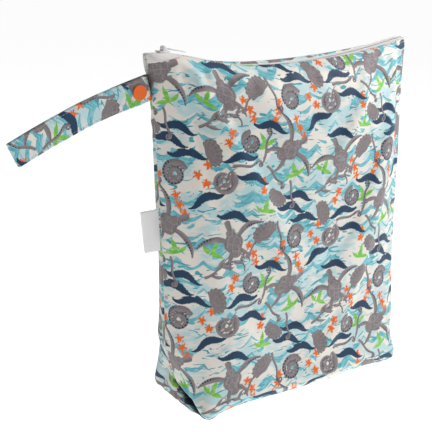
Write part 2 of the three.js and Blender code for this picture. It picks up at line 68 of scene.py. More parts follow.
# %% Camera
CAMERA_PLACE = (-506.94, -648.17, 415.07)
CAMERA_AIM = (-74.48, 0.0, 173.3)
LENS_MM = 75.95
SENSOR_MM = 36.0

camera = bpy.data.objects.new("camera", bpy.data.cameras.new("camera"))
bpy.context.scene.collection.objects.link(camera)
camera.data.lens = LENS_MM
camera.data.sensor_width = SENSOR_MM
camera.location = Vector(CAMERA_PLACE) * MM
view = Vector(CAMERA_AIM) - Vector(CAMERA_PLACE)
camera.rotation_euler = view.to_track_quat("-Z", "Y").to_euler()
bpy.context.scene.camera = camera
bpy.context.scene.view_settings.view_transform = "Standard"
print("camera", round(view.length), "mm from its aim")


# %% Colours and nodes
def srgb(red, green, blue):
    """A colour given as 0 to 255, as a painter reads it, in the linear values of a shader."""
    steps = np.array([red, green, blue]) / 255
    linear = np.where(steps <= 0.04045, steps / 12.92, ((steps + 0.055) / 1.055) ** 2.4)
    return (*(float(c) for c in linear), 1.0)


def put(tree, kind, inputs=None, **settings):
    """Adds a node. Each input is a plain value or another node's output."""
    new = tree.nodes.new(kind)
    for name, value in settings.items():
        setattr(new, name, value)
    for name, value in (inputs or {}).items():
        if isinstance(value, bpy.types.NodeSocket):
            tree.links.new(value, new.inputs[name])
        else:
            new.inputs[name].default_value = value
    return new


def maths(tree, operation, *values):
    return put(tree, "ShaderNodeMath", dict(enumerate(values)), operation=operation).outputs[0]


def spread(tree, value, low, high, to_low=0.0, to_high=1.0):
    """Maps low..high to to_low..to_high with a smooth start and end."""
    steps = {"Value": value, "From Min": low, "From Max": high, "To Min": to_low, "To Max": to_high}
    return put(tree, "ShaderNodeMapRange", steps, interpolation_type="SMOOTHSTEP").outputs[0]


def mix(tree, amount, below, above):
    inputs = {0: amount, 6: below, 7: above}
    return put(tree, "ShaderNodeMix", inputs, data_type="RGBA").outputs[2]


def noise(tree, place, scale, detail=2.0, distortion=0.0):
    inputs = {"Vector": place, "Scale": scale, "Detail": detail, "Distortion": distortion}
    return put(tree, "ShaderNodeTexNoise", inputs).outputs["Fac"]


def bumped(tree, height, distance, strength=1.0):
    inputs = {"Height": height, "Distance": distance, "Strength": strength}
    return put(tree, "ShaderNodeBump", inputs).outputs["Normal"]


def new_material(name, roughness, **constants):
    """A material whose single values sit on the shader's own sockets."""
    made = bpy.data.materials.new(name)
    made.use_nodes = True
    shader = made.node_tree.nodes["Principled BSDF"]
    shader.inputs["Roughness"].default_value = roughness
    for socket, value in constants.items():
        shader.inputs[socket.replace("_", " ")].default_value = value
    return made, made.node_tree, shader


def stretched(tree, vector, scale):
    inputs = {"Vector": vector, "Scale": scale}
    return put(tree, "ShaderNodeMapping", inputs).outputs[0]


# %% Floor and lamps
FLOOR_DROP = 0.3  # below the base, so that the two sheets don't flicker
FLOOR_SIZE = 40000
FLOOR_GLOW = 0.85  # a sheet lit from below, as under many product photos
LAMPS = (  # place in mm, size in mm, power in watts
    ((600, -270, 740), 300, 5.9), ((-120, -30, 950), 500, 1.5))
ROOM_LIGHT = 0.13

bpy.ops.mesh.primitive_plane_add(size=FLOOR_SIZE * MM, location=(0, 0, -FLOOR_DROP * MM))
floor = bpy.context.object
floor.name = "floor"
paper, tree, shader = new_material("pale_paper", 0.9, Emission_Strength=FLOOR_GLOW)
shader.inputs["Emission Color"].default_value = (1.0, 1.0, 1.0, 1.0)
grain = noise(tree, put(tree, "ShaderNodeTexCoord").outputs["Object"], 300.0)
tree.links.new(mix(tree, grain, srgb(246, 246, 246), srgb(250, 250, 250)), shader.inputs["Base Color"])
floor.data.materials.append(paper)

for number, (place, size, power) in enumerate(LAMPS):
    lamp = bpy.data.objects.new(f"lamp_{number}", bpy.data.lights.new(f"lamp_{number}", "AREA"))
    bpy.context.scene.collection.objects.link(lamp)
    lamp.data.size = size * MM
    lamp.data.energy = power
    lamp.location = Vector(place) * MM
    lamp.rotation_euler = (Vector((0, 0, 150)) - Vector(place)).to_track_quat("-Z", "Y").to_euler()

world = bpy.data.worlds.new("soft_white_room")
bpy.context.scene.world = world
world.use_nodes = True
world.node_tree.nodes["Background"].inputs["Color"].default_value = (1.0, 1.0, 1.0, 1.0)
world.node_tree.nodes["Background"].inputs["Strength"].default_value = ROOM_LIGHT
print("floor and", len(LAMPS), "lamps")

# %% [markdown]
# ## The shape of the filled cloth
#
# The front, the base and the back are one length of cloth, closed by two side seams. It
# could be pulled out of a box in edit mode, but cloth keeps its width as it bends, and a
# print has to follow it. So the shell is a loft: rows of points from the base edge up to
# the zip, where each point sits at a known distance along the real cloth. Nearly the
# same tables of rows, ends and creases shape the CAD solid. Here the lowest rows are a
# little narrower, and the lower edge is rounded, because filled cloth has no sharp
# edge where it meets the table.

# %% Sizes of the cloth and its rows
low, high = (np.array(corner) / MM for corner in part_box("bag_cloth"))
BAG_HEIGHT = float(high[2])
HALF_WIDTH = 156.0  # half the flat cloth, from seam to seam
HALF_DEPTH = 42.5  # half the boxed base, front to back
CLOTH_WALL = 1.5
BASE_ROUND = 17.0  # radius of the soft lower edge, front and back
CORNER_FROM, CORNER_RUN, CORNER_KEEP = 0.4, 0.36, 0.8  # shares where the edge gets sharper, and by how much
SEAM_WALL = 1.3  # walls between the outer and the inner seam
GAP = 0.3  # between pieces that touch on the real bag

ROW_COLUMNS = ("up", "mid", "ear", "left", "right", "depth", "flat", "blunt")
ROWS = (
    (0.0, 0.0, 0.0, 0.74, 0.735, 1.05, 16, 0.1),
    (0.015, 0.006, 0.006, 0.762, 0.752, 1.06, 16, 0.11),
    (0.04, 0.028, 0.027, 0.766, 0.758, 1.07, 15, 0.13),
    (0.1, 0.09, 0.088, 0.764, 0.76, 1.04, 10, 0.19),
    (0.2, 0.19, 0.188, 0.775, 0.78, 1.05, 7, 0.28),
    (0.35, 0.34, 0.34, 0.785, 0.792, 1.08, 5.5, 0.38),
    (0.5, 0.488, 0.495, 0.802, 0.81, 1.11, 5, 0.45),
    (0.65, 0.632, 0.65, 0.832, 0.842, 1.12, 4.2, 0.56),
    (0.77, 0.748, 0.77, 0.862, 0.88, 1.09, 3.6, 0.7),
    (0.85, 0.826, 0.85, 0.885, 0.903, 1.02, 3.4, 0.8),
    (0.9, 0.872, 0.9, 0.9, 0.915, 0.9, 3.6, 0.85),
    (0.94, 0.908, 0.941, 0.911, 0.923, 0.7, 4, 0.8),
    (0.975, 0.94, 0.976, 0.918, 0.922, 0.42, 7, 0.55),
    (0.99, 0.951, 0.99, 0.92, 0.913, 0.28, 10, 0.35),
    (1.0, 0.944, 1.0, 0.92, 0.905, 0.19, 14, 0.25),
)
ENDS = {-1: {"rise": 3, "level": 3, "top": 1}, 1: {"rise": 1.8, "level": 1, "top": 0.992}}
CREASE_COLUMNS = ("end", "panel", "seam1", "up1", "seam2", "up2", "depth", "width")
CREASES = (  # end -1 is the left, 1 the right; panel -1 is the front, 1 the back; 0 is both
    (-1, 0, 1.05, 0.0, 1.0, 0.06, -0.05, 0.2),
    (1, 0, 1.05, 0.0, 1.0, 0.06, -0.02, 0.2),
    (0, -1, 0.86, 0.0, 0.05, 0.17, 0.03, 0.12),
    (0, 1, 0.86, 0.0, 0.1, 0.15, 0.06, 0.12),
    (-1, 1, 0.9, 0.1, 0.85, 0.5, -0.035, 0.42),
    (0, 0, 1.7, 0.93, 0.25, 0.78, 0.025, 0.2),
    (-1, -1, 2.6, 0.97, 1.4, 0.8, 0.02, 0.2),
    (1, 0, 2.4, 0.96, 0.9, 0.86, 0.02, 0.2),
    (-1, 0, 1.1, 0.3, 0.3, 0.48, 0.02, 0.2),
    (1, 0, 1.3, 0.58, 0.3, 0.42, 0.02, 0.2),
)
CREASE_FADE = 0.8
EDGE_HOLD = 9.0
table = {name: np.array([row[i] for row in ROWS]) for i, name in enumerate(ROW_COLUMNS)}
print("rows:", len(ROWS), " creases:", len(CREASES), " height:", round(BAG_HEIGHT, 1), "mm")


# %% Read the rows anywhere between them
def row(name, up):
    """One column of the rows at the heights up, on a smooth curve that never overshoots."""
    ups, values = table["up"], table[name]
    slopes = np.diff(values) / np.diff(ups)
    before, after = slopes[:-1], slopes[1:]
    with np.errstate(divide="ignore", invalid="ignore"):
        inner = np.where(before * after > 0, 2 * before * after / (before + after), 0.0)
    tangents = np.concatenate([slopes[:1], inner, slopes[-1:]])
    up = np.asarray(up, float)
    i = np.clip(np.searchsorted(ups, up) - 1, 0, len(slopes) - 1)
    step = ups[i + 1] - ups[i]
    t = (up - ups[i]) / step
    return (
        (2 * t**3 - 3 * t**2 + 1) * values[i]
        + (t**3 - 2 * t**2 + t) * step * tangents[i]
        + (3 * t**2 - 2 * t**3) * values[i + 1]
        + (t**3 - t**2) * step * tangents[i + 1]
    )


def row_height(up, across):
    """Height of a row: across is -1 at the left seam, 0 in the middle, 1 at the right seam."""
    lifts, tops = [], []
    for side in (-1, 1):
        end = ENDS[side]
        lifts.append(1 - (1 - np.minimum(1, np.abs(across)) ** end["rise"]) ** end["level"])
        tops.append(end["top"])
    lift = np.where(across < 0, lifts[0], lifts[1])
    top = np.where(across < 0, tops[0], tops[1])
    mid = row("mid", up)
    return (mid + (row("ear", up) * top - mid) * lift) * BAG_HEIGHT


def panel_outline(half_width, half_depth, flat, blunt, shares):
    """Places and outward directions along half a row, at shares of its length."""
    angle = np.linspace(0, math.pi / 2, 400)
    x = half_width * np.sin(angle) ** (2 / flat)
    y = half_depth * np.abs(np.cos(angle)) ** (2 * blunt)
    y[-1] = 0
    lengths = np.concatenate([[0], np.cumsum(np.hypot(np.diff(x), np.diff(y)))])
    wanted = shares * lengths[-1]
    place = np.stack([np.interp(wanted, lengths, x), np.interp(wanted, lengths, y)], -1)
    reach = 1.2  # mm to each side over which a direction is taken
    ahead, behind = np.minimum(wanted + reach, lengths[-1]), np.maximum(wanted - reach, 0)
    run_x = np.interp(ahead, lengths, x) - np.interp(behind, lengths, x)
    run_y = np.interp(ahead, lengths, y) - np.interp(behind, lengths, y)
    outward = np.stack([-run_y, run_x], -1) / np.hypot(run_x, run_y)[:, None]
    return place, outward, lengths[-1]


def crease_depth(panel, share, up):
    """How deep all creases press the cloth in at a place on it."""
    x, z = (1 - np.abs(share)) * HALF_WIDTH, up * BAG_HEIGHT
    total = np.zeros(np.broadcast(x, z).shape)
    for values in CREASES:
        crease = dict(zip(CREASE_COLUMNS, values))
        if crease["panel"] not in (0, panel):
            continue
        x1, z1 = crease["seam1"] * HALF_DEPTH, crease["up1"] * BAG_HEIGHT
        run_x = crease["seam2"] * HALF_DEPTH - x1
        run_z = crease["up2"] * BAG_HEIGHT - z1
        along = np.clip(((x - x1) * run_x + (z - z1) * run_z) / (run_x**2 + run_z**2), 0, 1)
        off = np.hypot(x - x1 - along * run_x, z - z1 - along * run_z)
        depth = crease["depth"] * 2 * HALF_DEPTH * (1 - CREASE_FADE * along)
        if depth.max() > 0:
            depth = depth * np.minimum(1, z / EDGE_HOLD)
        here = (crease["end"] == 0) | (np.sign(share) == crease["end"])
        total += np.where(here, depth * np.exp(-((off / (crease["width"] * HALF_DEPTH)) ** 2)), 0)
    return total


print("half height of the middle:", round(float(row_height(0.5, np.array(0.0)))), "mm")


# %% One panel of cloth as a grid of places
def base_angle(up):
    """How far round the soft lower edge the cloth has come: 0 below, a quarter turn above."""
    z = row_height(up, np.array(0.0))
    return np.arccos(1 - np.clip(z / BASE_ROUND, 0, 1))


def wall_step(up, wall):
    """How far the inner wall lies inwards and downwards of the outer one."""
    reach = 0.004
    lower, upper = max(0, up - reach), min(1, up + reach)
    out = float(row("depth", upper) - row("depth", lower)) * HALF_DEPTH
    rise = float(np.diff([np.mean(row_height(u, np.array([0.0, 1.0]))) for u in (lower, upper)])[0])
    return wall * rise / math.hypot(out, rise), -wall * out / math.hypot(out, rise)


def panel_grid(panel, ups, shares, wall=0.0, relief=None):
    """Places [row, column] in mm of the front (-1) or back (1) panel, and which way is out."""
    grid = np.zeros((len(ups), len(shares), 3))
    out = np.zeros_like(grid)
    for i, up in enumerate(ups):
        inwards, downwards = wall_step(up, wall)
        depth = float(row("depth", up)) * HALF_DEPTH - inwards
        tucked = BASE_ROUND * (1 - math.sin(float(base_angle(up))))
        for side, half in ((-1, shares < 0), (1, shares >= 0)):
            seam = float(row("left" if side < 0 else "right", up)) * HALF_WIDTH - SEAM_WALL * wall
            place, outward, _ = panel_outline(
                seam, depth, float(row("flat", up)), float(row("blunt", up)), np.abs(shares[half])
            )
            at_seam = np.abs(shares[half]) == 1
            outward[at_seam] = (1, 0)
            z = np.maximum(wall, row_height(up, side * place[:, 0] / seam) - downwards)
            off_middle = np.clip((np.abs(shares[half]) - CORNER_FROM) / CORNER_RUN, 0, 1)
            kept = 1 - CORNER_KEEP * off_middle**2 * (3 - 2 * off_middle)
            push = -crease_depth(panel, shares[half], up) - tucked * kept
            if relief is not None:
                push = push + relief(panel, shares[half], up)
            place = place + outward * push[:, None]
            y = np.where(at_seam, 0, np.maximum(0.2, place[:, 1]))
            grid[i, half] = np.stack([side * place[:, 0], panel * y, z], -1)
            out[i, half] = np.stack([side * outward[:, 0], panel * outward[:, 1], z * 0], -1)
    return grid, out


# %% [markdown]
# ## The print
#
# The cloth has an all-over sea print in grey-brown, navy, teal, aqua, green and orange
# on cream. Its drawing is a plain one made for this model: turtles, seaweed, scallops,
# coiled shells, green leaves, sea stars and navy swashes, in a half-drop layout, where
# each column of the repeat sits half a repeat higher than the last.
#
# An image texture would be the usual way, but a print can also be worked out. Each
# motif is a few brush strokes: a centre line with a half width along it. Every corner
# of the cloth's faces stores how far it is from the nearest stroke, how far across it
# and how far along it. The material turns those smooth numbers into crisp painted
# edges, which stay sharp between the corners of the mesh.

# %% Brush strokes
REPEAT_WIDTH, REPEAT_HEIGHT = 116.0, 128.0  # of the print's half-drop repeat
BRUSH_STEP = 0.5
FROND_BLADES = 6


def brush(start, heading, length, wide, thin, bend=0, sway=0, sways=1.0, curl=0, curl_from=0.5, belly=0):
    """A stroke as rows of x, y, half width. Angles are in turns; a belly widens its middle."""
    count = max(6, int(length / BRUSH_STEP))
    s = np.linspace(0, 1, count)
    late = np.clip((s - curl_from) / (1 - curl_from), 0, 1)
    angle = math.tau * (heading + bend * s + sway * np.sin(math.tau * sways * s) + curl * late**2)
    step = length / (count - 1)
    x = start[0] + np.concatenate([[0], np.cumsum(np.cos(angle[:-1]) * step)])
    y = start[1] + np.concatenate([[0], np.cumsum(np.sin(angle[:-1]) * step)])
    half = wide + (thin - wide) * s + belly * np.sin(math.pi * s)
    return np.stack([x, y, half], -1)


def placed(stroke, centre, turn=0.0, size=1.0, mirror=1):
    """A stroke turned, sized and moved to its place in the repeat."""
    c, s = math.cos(math.tau * turn), math.sin(math.tau * turn)
    x, y = stroke[:, 0] * mirror * size, stroke[:, 1] * size
    return np.stack([centre[0] + c * x - s * y, centre[1] + s * x + c * y, stroke[:, 2] * size], -1)


def frond(length, hook):
    """A thin grey stem of seaweed with narrow blades to its left and its right."""
    stem = brush((0, 0), 0.25, length, 1.3, 0.7, sway=0.05, sways=1.1, curl=0.4 * hook, curl_from=0.6)
    strokes = [stem]
    for i in range(FROND_BLADES):
        x, y, _ = stem[int((0.1 + 0.8 * i / FROND_BLADES) * len(stem))]
        side = hook if i % 2 else -hook
        strokes.append(brush((x, y), 0.25 - side * 0.13, 13 - i, 0.5, 0.4, bend=side * 0.09, belly=1.1))
    return strokes


def coiled_shell(radius=13.5, turns=2.7, shrink=0.105):
    """A flat spiral whose whorls grow with their distance from the middle."""
    angle = np.arange(0, math.tau * turns, 0.03)
    out = radius * np.exp(-shrink * angle)
    half = 0.29 * out * np.minimum(1, 0.55 + angle / 1.2)
    return np.stack([out * np.cos(angle), out * np.sin(angle), half], -1)


scallop = brush((-5.0, 1.0), 0, 10, 8.2, 8.2, belly=1.6)
turtle_shell = brush((-7.5, 0), 0, 15, 5.0, 4.2, belly=4.6)
turtle_limbs = [brush((10, 0), 0, 6.5, 2.2, 2.7)]
for side in (-1, 1):
    turtle_limbs += [brush((4, 6.5 * side), 0.13 * side, 26, 1.8, 0.7, bend=0.2 * side, belly=1.1),
                     brush((-8, 5 * side), 0.39 * side, 13, 1.5, 0.7, bend=0.1 * side, belly=0.8)]
tendril = brush((0, 0), 0.05, 46, 1.5, 0.6, sway=0.07, sways=1.2, curl=1.35, curl_from=0.45, belly=0.2)
kelp = [brush((0, 0), 0.19, 15, 0.5, 0.4, bend=0.05, belly=1.9),
        brush((0, 0), 0.02, 14, 0.5, 0.4, bend=-0.06, belly=1.7),
        brush((0, 0), 0.44, 12, 0.5, 0.4, bend=-0.08, belly=1.5)]
swash = brush((-13, 1), 0.9, 28, 0.9, 0.5, bend=0.12, sway=0.11, belly=2.2)
star = [brush((0, 0), i / 5 + 0.05, 3.2, 1.2, 0.6) for i in range(5)]
print("a frond has", len(frond(56, 1)), "strokes, a turtle", len(turtle_limbs) + 1)

# %% Lay the motifs out in the repeat
TURTLES = (  # centre in mm, turn, size
    ((28, 100), 0.3, 1.05), ((86, 52), 0.07, 1.05))
FRONDS = (  # root in mm, turn, length, side of the hook
    ((2, 72), 0.8, 46, -1),)
TENDRILS = (  # root in mm, turn, size, mirror
    ((72, 114), 0.7, 0.9, 1), ((64, 38), 0.45, 0.85, -1), ((60, 46), 0.12, 0.85, 1), ((30, 40), 0.6, 0.9, -1),
    ((88, 22), 0.36, 0.8, -1), ((42, 86), 0.06, 0.7, 1))
SCALLOPS = (((60, 106), 0.1, 0.95), ((10, 50), -0.2, 0.92), ((74, 10), 0.4, 0.85))
SHELLS = (((94, 96), 0.1, 0.82, 1), ((20, 26), 0.62, 0.82, -1), ((48, 60), 0.3, 0.72, 1))
KELPS = (((58, 126), 0.0, 1), ((62, 56), 0.1, 1), ((94, 28), 0.02, -1), ((6, 92), 0.95, 1))
SWASHES = (((90, 126), 0.0, 1), ((36, 48), -0.02, -1), ((106, 114), 0.02, 1), ((68, 74), 0.0, 1),
           ((4, 12), 0.02, -1), ((30, 124), 0.01, 1), ((48, 30), 0.0, 1), ((98, 8), 0.0, 1))
STARS = (((48, 96), 3), ((76, 94), 3), ((26, 68), 2), ((60, 26), 2), ((2, 40), 3), ((98, 78), 3))

arms, domes, fans, navy, green, orange = [], [], [], [], [], []
for centre, turn, size in TURTLES:
    arms += [placed(limb, centre, turn, size) for limb in turtle_limbs]
    domes.append(placed(turtle_shell, centre, turn, size))
for root, turn, length, hook in FRONDS:
    arms += [placed(stroke, root, turn) for stroke in frond(length, hook)]
for root, turn, size, mirror in TENDRILS:
    arms.append(placed(tendril, root, turn, size, mirror))
for centre, turn, size in SCALLOPS:
    fans.append(placed(scallop, centre, turn, size))
for centre, turn, size, mirror in SHELLS:
    arms.append(placed(coiled_shell(), centre, turn, size, mirror))
for centre, turn, mirror in KELPS:
    green += [placed(leaf, centre, turn, 0.88, mirror) for leaf in kelp]
for centre, turn, mirror in SWASHES:
    navy.append(placed(swash, centre, turn, 1.22, mirror))
for (x, y), count in STARS:
    for i in range(count):
        spot = (x + 5.0 * math.sin(2.4 * i + x), y - 8.0 * i)
        orange += [placed(ray, spot, 0.07 * i + x / 40) for ray in star]
counts = {"grey": len(arms), "navy": len(navy), "green": len(green), "orange": len(orange)}
print("strokes in a repeat:", counts)


# %% Measure the cloth against the strokes
def stroke_tree(strokes):
    """A search tree of every place on the strokes, in the repeat and in all its neighbours."""
    rows = []
    for stroke in strokes:
        run = np.gradient(stroke[:, :2], axis=0)
        run /= np.linalg.norm(run, axis=1)[:, None]
        steps = np.linalg.norm(np.diff(stroke[:, :2], axis=0), axis=1)
        along = np.concatenate([[0], np.cumsum(steps)])
        rows.append(np.concatenate([stroke, run, along[:, None]], 1))
    rows = np.concatenate(rows)
    copies = []
    for i in (-1, 0, 1):
        for j in (-2, -1, 0, 1, 2):
            shift = (i * REPEAT_WIDTH, i * REPEAT_HEIGHT / 2 + j * REPEAT_HEIGHT, 0, 0, 0, 0)
            copies.append(rows + shift)
    rows = np.concatenate(copies)
    inside = (rows[:, 0] > -60) & (rows[:, 0] < REPEAT_WIDTH + 60)
    inside &= (rows[:, 1] > -60) & (rows[:, 1] < REPEAT_HEIGHT + 60)
    rows = rows[inside]
    found = kdtree.KDTree(len(rows))
    for i, (x, y) in enumerate(rows[:, :2].tolist()):
        found.insert((x, y, 0.0), i)
    found.balance()
    return found, rows


def measure(strokes, places):
    """For each place in mm on the flat cloth: distance outside the stroke, share across, along."""
    found, rows = stroke_tree(strokes)
    column = np.floor(places[:, 0] / REPEAT_WIDTH)
    x = places[:, 0] - column * REPEAT_WIDTH
    y = np.mod(places[:, 1] - column * REPEAT_HEIGHT / 2, REPEAT_HEIGHT)
    find = found.find
    nearest = [find((a, b, 0.0))[1:] for a, b in zip(x.tolist(), y.tolist())]
    index = np.array([i for i, _ in nearest])
    distance = np.array([d for _, d in nearest])
    hit = rows[index]
    off_x, off_y = x - hit[:, 0], y - hit[:, 1]
    across = (hit[:, 3] * off_y - hit[:, 4] * off_x) / hit[:, 2]
    along = hit[:, 5] + hit[:, 3] * off_x + hit[:, 4] * off_y
    return np.stack([distance - hit[:, 2], np.clip(across, -9, 9), along], -1)


LAYERS = {"print_arms": arms, "print_domes": domes, "print_fans": fans, "print_navy": navy,
          "print_green": green, "print_orange": orange}


def store_print(mesh, places):
    """Stores the flat cloth's place, in tenths of a metre, and every print layer at each face corner."""
    rounded = np.round(places, 3)
    unique, back = np.unique(rounded, axis=0, return_inverse=True)
    back = back.reshape(-1)
    uv = mesh.uv_layers.new(name="cloth")
    uv.data.foreach_set("uv", (places / 100).astype(np.float32).ravel())
    for name, strokes in LAYERS.items():
        layer = mesh.attributes.new(name, "FLOAT_VECTOR", "CORNER")
        layer.data.foreach_set("vector", measure(strokes, unique)[back].astype(np.float32).ravel())
    print(mesh.name, "print measured at", len(unique), "places")


def store_painted_shade(mesh, values):
    """Stores how deep in a fold or a nook each face corner lies, where the cloth gets painted shade."""
    shade = mesh.attributes.new("painted_fold_shade", "FLOAT", "CORNER")
    shade.data.foreach_set("value", np.asarray(values, np.float32))


# %% [markdown]
# ## Printed cloth
#
# The cloth is a fine polyester knit with a soft sheen. The colours lie in the order in
# which such a print is made: cream ground, aqua washes, teal brush marks, then green,
# orange, navy and grey-brown on top. Thin noise roughens every edge as a brush does. A
# fine weave and a soft unevenness sit in the bump. Deep in a fold or a nook, shade is
# painted into the colour, which goes nearly black, as hardly any light gets in there. The
# strap was cut from a more washed part of the print, so its cloth takes a value for that.

# %% Printed cloth material
CREAM, AQUA, TEAL = srgb(229, 224, 215), srgb(186, 213, 216), srgb(88, 172, 184)
NAVY, GREEN, ORANGE = srgb(20, 56, 86), srgb(98, 184, 62), srgb(232, 106, 20)
GREY, GREY_LIGHT, GREY_DARK = srgb(131, 122, 124), srgb(148, 140, 142), srgb(116, 106, 107)


def layer_of(tree, name):
    found = put(tree, "ShaderNodeAttribute", attribute_name=name)
    return put(tree, "ShaderNodeSeparateXYZ", {0: found.outputs["Vector"]}).outputs


def stroke_mask(tree, layer, rough, width=1.0):
    """1 on a stroke: the share across it gives the edge, the distance keeps it to this stroke."""
    across = maths(tree, "ABSOLUTE", layer[1])
    edge = maths(tree, "SUBTRACT", across, rough)
    on = spread(tree, edge, width + 0.12, width - 0.12)
    near = spread(tree, layer[0], 1.1, 0.7)
    return maths(tree, "MULTIPLY", on, near)


# %% The ground of the print
TEAL_LIGHT, TEAL_DARK, GREEN_LIGHT = srgb(136, 198, 208), srgb(70, 156, 170), srgb(150, 204, 96)
WASH_FROM, WASH_TO = 0.455, 0.595  # where the noise turns from cream to aqua
MARKS_FROM, MARKS_TO = 0.552, 0.577  # where it turns to teal brush marks
WAVES, WAVE_HEIGHT = 13.5, 0.06  # of the arches that washes and marks follow


def sea_ground(tree, cloth, rough, streak, washed):
    """Cream ground, aqua washes in low arches, and teal brush marks on them."""
    across = put(tree, "ShaderNodeSeparateXYZ", {0: cloth}).outputs[0]
    crest = maths(tree, "ABSOLUTE", maths(tree, "SINE", maths(tree, "MULTIPLY", across, WAVES)))
    lift = put(tree, "ShaderNodeCombineXYZ", {1: maths(tree, "MULTIPLY", crest, WAVE_HEIGHT)}).outputs[0]
    arched = put(tree, "ShaderNodeVectorMath", {0: cloth, 1: lift}, operation="ADD").outputs[0]
    wash = noise(tree, stretched(tree, arched, (1.0, 2.4, 1.0)), 2.4, 3.0, 0.5)
    wet = maths(tree, "ADD", wash, maths(tree, "MULTIPLY", maths(tree, "SUBTRACT", streak, 0.5), 0.3))
    colour = mix(tree, spread(tree, wet, WASH_FROM - washed, WASH_TO - washed), CREAM, AQUA)
    brushed = noise(tree, stretched(tree, arched, (1.0, 3.6, 1.0)), 3.3, 2.0, 0.5)
    brushed = maths(tree, "ADD", brushed, maths(tree, "MULTIPLY", rough, 0.06))
    marks = spread(tree, brushed, MARKS_FROM - washed / 4, MARKS_TO - washed / 4)
    bristles = noise(tree, stretched(tree, arched, (1.0, 5.0, 1.0)), 16.0, 2.0, 0.6)
    tone = mix(tree, spread(tree, bristles, 0.42, 0.62), TEAL, TEAL_LIGHT)
    colour = mix(tree, marks, colour, tone)
    flicks = noise(tree, stretched(tree, cloth, (-1.0, 3.4, 1.0)), 5.6, 1.0, 1.6)
    return mix(tree, spread(tree, flicks, 0.65, 0.665), colour, TEAL_DARK)


# %% Motifs in one tone, and grey limbs
def plain_motifs(tree, colour, rough, streak):
    """Green leaves, orange stars and navy swashes."""
    leaf = mix(tree, spread(tree, streak, 0.3, 0.7), GREEN, GREEN_LIGHT)
    colour = mix(tree, stroke_mask(tree, layer_of(tree, "print_green"), rough), colour, leaf)
    finer = maths(tree, "MULTIPLY", rough, 0.5)
    colour = mix(tree, stroke_mask(tree, layer_of(tree, "print_orange"), finer), colour, ORANGE)
    return mix(tree, stroke_mask(tree, layer_of(tree, "print_navy"), rough), colour, NAVY)


def grey_limbs(tree, colour, rough, streak):
    """Limbs, tendrils and coiled shells, darker on one side, with navy beads along it."""
    arms = layer_of(tree, "print_arms")
    tone = mix(tree, spread(tree, arms[1], -0.7, 0.9), GREY_DARK, GREY_LIGHT)
    tone = mix(tree, spread(tree, streak, 0.35, 0.7), tone, GREY)
    beat = maths(tree, "PINGPONG", arms[2], 1.3)
    side = spread(tree, maths(tree, "ABSOLUTE", maths(tree, "SUBTRACT", arms[1], -0.62)), 0.6, 0.35)
    beads = maths(tree, "MULTIPLY", spread(tree, beat, 0.5, 0.75), side)
    middle = maths(tree, "MULTIPLY", spread(tree, arms[2], 10, 14), spread(tree, arms[2], 60, 50))
    tone = mix(tree, maths(tree, "MULTIPLY", beads, middle), tone, NAVY)
    return mix(tree, stroke_mask(tree, arms, maths(tree, "MULTIPLY", rough, 0.35)), colour, tone)


# %% Turtle shells and scallops
def plated_shells(tree, colour, cloth, rough, dots):
    """The turtles' shells: plates with light joints, dark dots and a dark rim."""
    domes = layer_of(tree, "print_domes")
    edge = put(tree, "ShaderNodeTexVoronoi", {"Vector": cloth, "Scale": 17.0, "Randomness": 0.6},
               feature="DISTANCE_TO_EDGE").outputs["Distance"]
    plates = mix(tree, spread(tree, edge, 0.03, 0.09), GREY_LIGHT, GREY)
    plates = mix(tree, spread(tree, dots, 0.26, 0.18), plates, srgb(58, 64, 82))
    rim = spread(tree, maths(tree, "ABSOLUTE", domes[1]), 0.78, 0.84)
    plates = mix(tree, maths(tree, "MULTIPLY", rim, 0.8), plates, GREY_DARK)
    return mix(tree, stroke_mask(tree, domes, maths(tree, "MULTIPLY", rough, 0.12)), colour, plates)


def ribbed_scallops(tree, colour, rough, dots):
    """Scallops whose ribs fan out from the hinge, with bands along their wavy rim."""
    fans = layer_of(tree, "print_fans")
    from_hinge = maths(tree, "ADD", fans[1], 0.95)
    beside = maths(tree, "MULTIPLY", maths(tree, "SUBTRACT", fans[2], 5.0), 0.11)
    ribs = maths(tree, "PINGPONG", maths(tree, "ARCTAN2", beside, from_hinge), 0.13)
    waves = spread(tree, ribs, 0.0, 0.13)
    rim = spread(tree, maths(tree, "ADD", fans[0], maths(tree, "ADD", waves, rough)), 0.55, 0.25)
    skin = mix(tree, maths(tree, "MULTIPLY", spread(tree, ribs, 0.05, 0.02), 0.85), GREY, GREY_DARK)
    bands = maths(tree, "PINGPONG", fans[0], 2.2)
    skin = mix(tree, maths(tree, "MULTIPLY", spread(tree, bands, 1.6, 2.1), 0.45), skin, GREY_LIGHT)
    spots = maths(tree, "MULTIPLY", spread(tree, dots, 0.3, 0.2), spread(tree, fans[1], 0.1, 0.45))
    skin = mix(tree, maths(tree, "MULTIPLY", spots, 0.7), skin, srgb(74, 72, 80))
    return mix(tree, maths(tree, "MULTIPLY", rim, spread(tree, from_hinge, 0.2, 0.26)), colour, skin)


# %% The whole printed cloth
# Painted shade: the near black that the cloth's colour turns to deep in folds and nooks.
PAINTED_SHADE_BLACK = srgb(14, 16, 16)


def knitted(tree, cloth):
    """The fine knit and a soft unevenness, as a bumped normal."""
    yarns = {"Vector": cloth, "Scale": 36.0, "Distortion": 0.3}
    knit = put(tree, "ShaderNodeTexWave", yarns).outputs["Fac"]
    turned = put(tree, "ShaderNodeTexWave", yarns, bands_direction="Y").outputs["Fac"]
    weave = maths(tree, "MULTIPLY", maths(tree, "ADD", knit, turned), 0.1)
    return bumped(tree, maths(tree, "ADD", weave, noise(tree, cloth, 14.0, 3.0)), 0.0003, 0.55)


